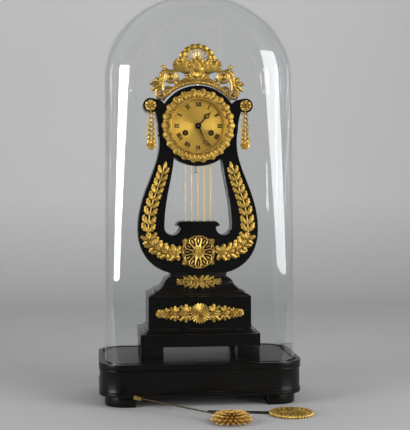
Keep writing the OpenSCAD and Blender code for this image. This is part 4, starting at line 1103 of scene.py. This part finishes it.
bmesh.ops.translate(sweep, vec=(PAPER_WIDE, 0, 0), verts=kept(grown, bmesh.types.BMVert))
bmesh.ops.recalc_face_normals(sweep, faces=sweep.faces)
if min(sweep.faces, key=lambda face: face.calc_center_median().z).normal.z < 0:
    bmesh.ops.reverse_faces(sweep, faces=sweep.faces)
paper_mesh = bpy.data.meshes.new("paper_sweep")
sweep.to_mesh(paper_mesh)
sweep.free()
paper_mesh.polygons.foreach_set("use_smooth", [True] * len(paper_mesh.polygons))
backdrop = bpy.data.objects.new("paper_sweep", paper_mesh)
backdrop.data.materials.append(paper.material)
bpy.context.scene.collection.objects.link(backdrop)
print("paper sweep with", len(paper_mesh.polygons), "faces")

# %% [markdown]
# ## Lamps
# Two upright softboxes light the clock, and their reflections run down both sides of the dome. They
# stand where the reflections fall on the glass as in the photograph. A third lamp hangs over the
# backdrop and is not mirrored. Plain area lamps are enough, because only their outline is seen.


# %% Set the lamps
def softbox(name, place, target, wide, tall, power, mirrored=True):
    lamp = bpy.data.lights.new(name, "AREA")
    lamp.shape = "RECTANGLE"
    lamp.size, lamp.size_y, lamp.energy = wide, tall, power
    stand = bpy.data.objects.new(name, lamp)
    stand.location = place
    stand.rotation_euler = (Vector(target) - Vector(place)).to_track_quat("-Z", "Y").to_euler()
    stand.visible_glossy = mirrored
    bpy.context.scene.collection.objects.link(stand)


softbox("left_softbox", (-1.70, -0.85, 0.60), (0, 0, 0.60), wide=1.0, tall=1.0, power=32)
softbox("right_softbox", (1.51, -1.15, 0.91), (0, 0, 0.91), wide=1.5, tall=1.6, power=45)
softbox("backdrop_lamp", (0, 0.5, 2.7), (0, 2.0, 0.9), wide=3.0, tall=0.8, power=23, mirrored=False)
print("two softboxes and a backdrop lamp")

# %% [markdown]
# ## The room
# The room is dark on the camera's side and grey behind the clock, so that the front of the dome stays
# clear and its edges show. A picture of a room could stand round the scene, but one ramp over the
# direction does what the photograph shows.

# %% Paint the room
ROOM_GREYS = ((0.0, 0.04), (0.5, 0.5))
BLUER = 1.02
sky = bpy.data.worlds.new("studio_grey")
sky.use_nodes = True
room = sky.node_tree
facing = room.nodes.new("ShaderNodeTexCoord")
split = room.nodes.new("ShaderNodeSeparateXYZ")
shade = room.nodes.new("ShaderNodeValToRGB")
room.links.new(facing.outputs["Generated"], split.inputs[0])
room.links.new(split.outputs["Y"], shade.inputs[0])
for element, (position, grey) in zip(shade.color_ramp.elements, ROOM_GREYS):
    element.position = position
    element.color = (grey, grey, BLUER * grey, 1)
room.links.new(shade.outputs[0], room.nodes["Background"].inputs["Color"])
bpy.context.scene.world = sky
print("a grey room")

# %% [markdown]
# ## The view transform

# %% Set the view transform
bpy.context.scene.view_settings.view_transform = "Standard"
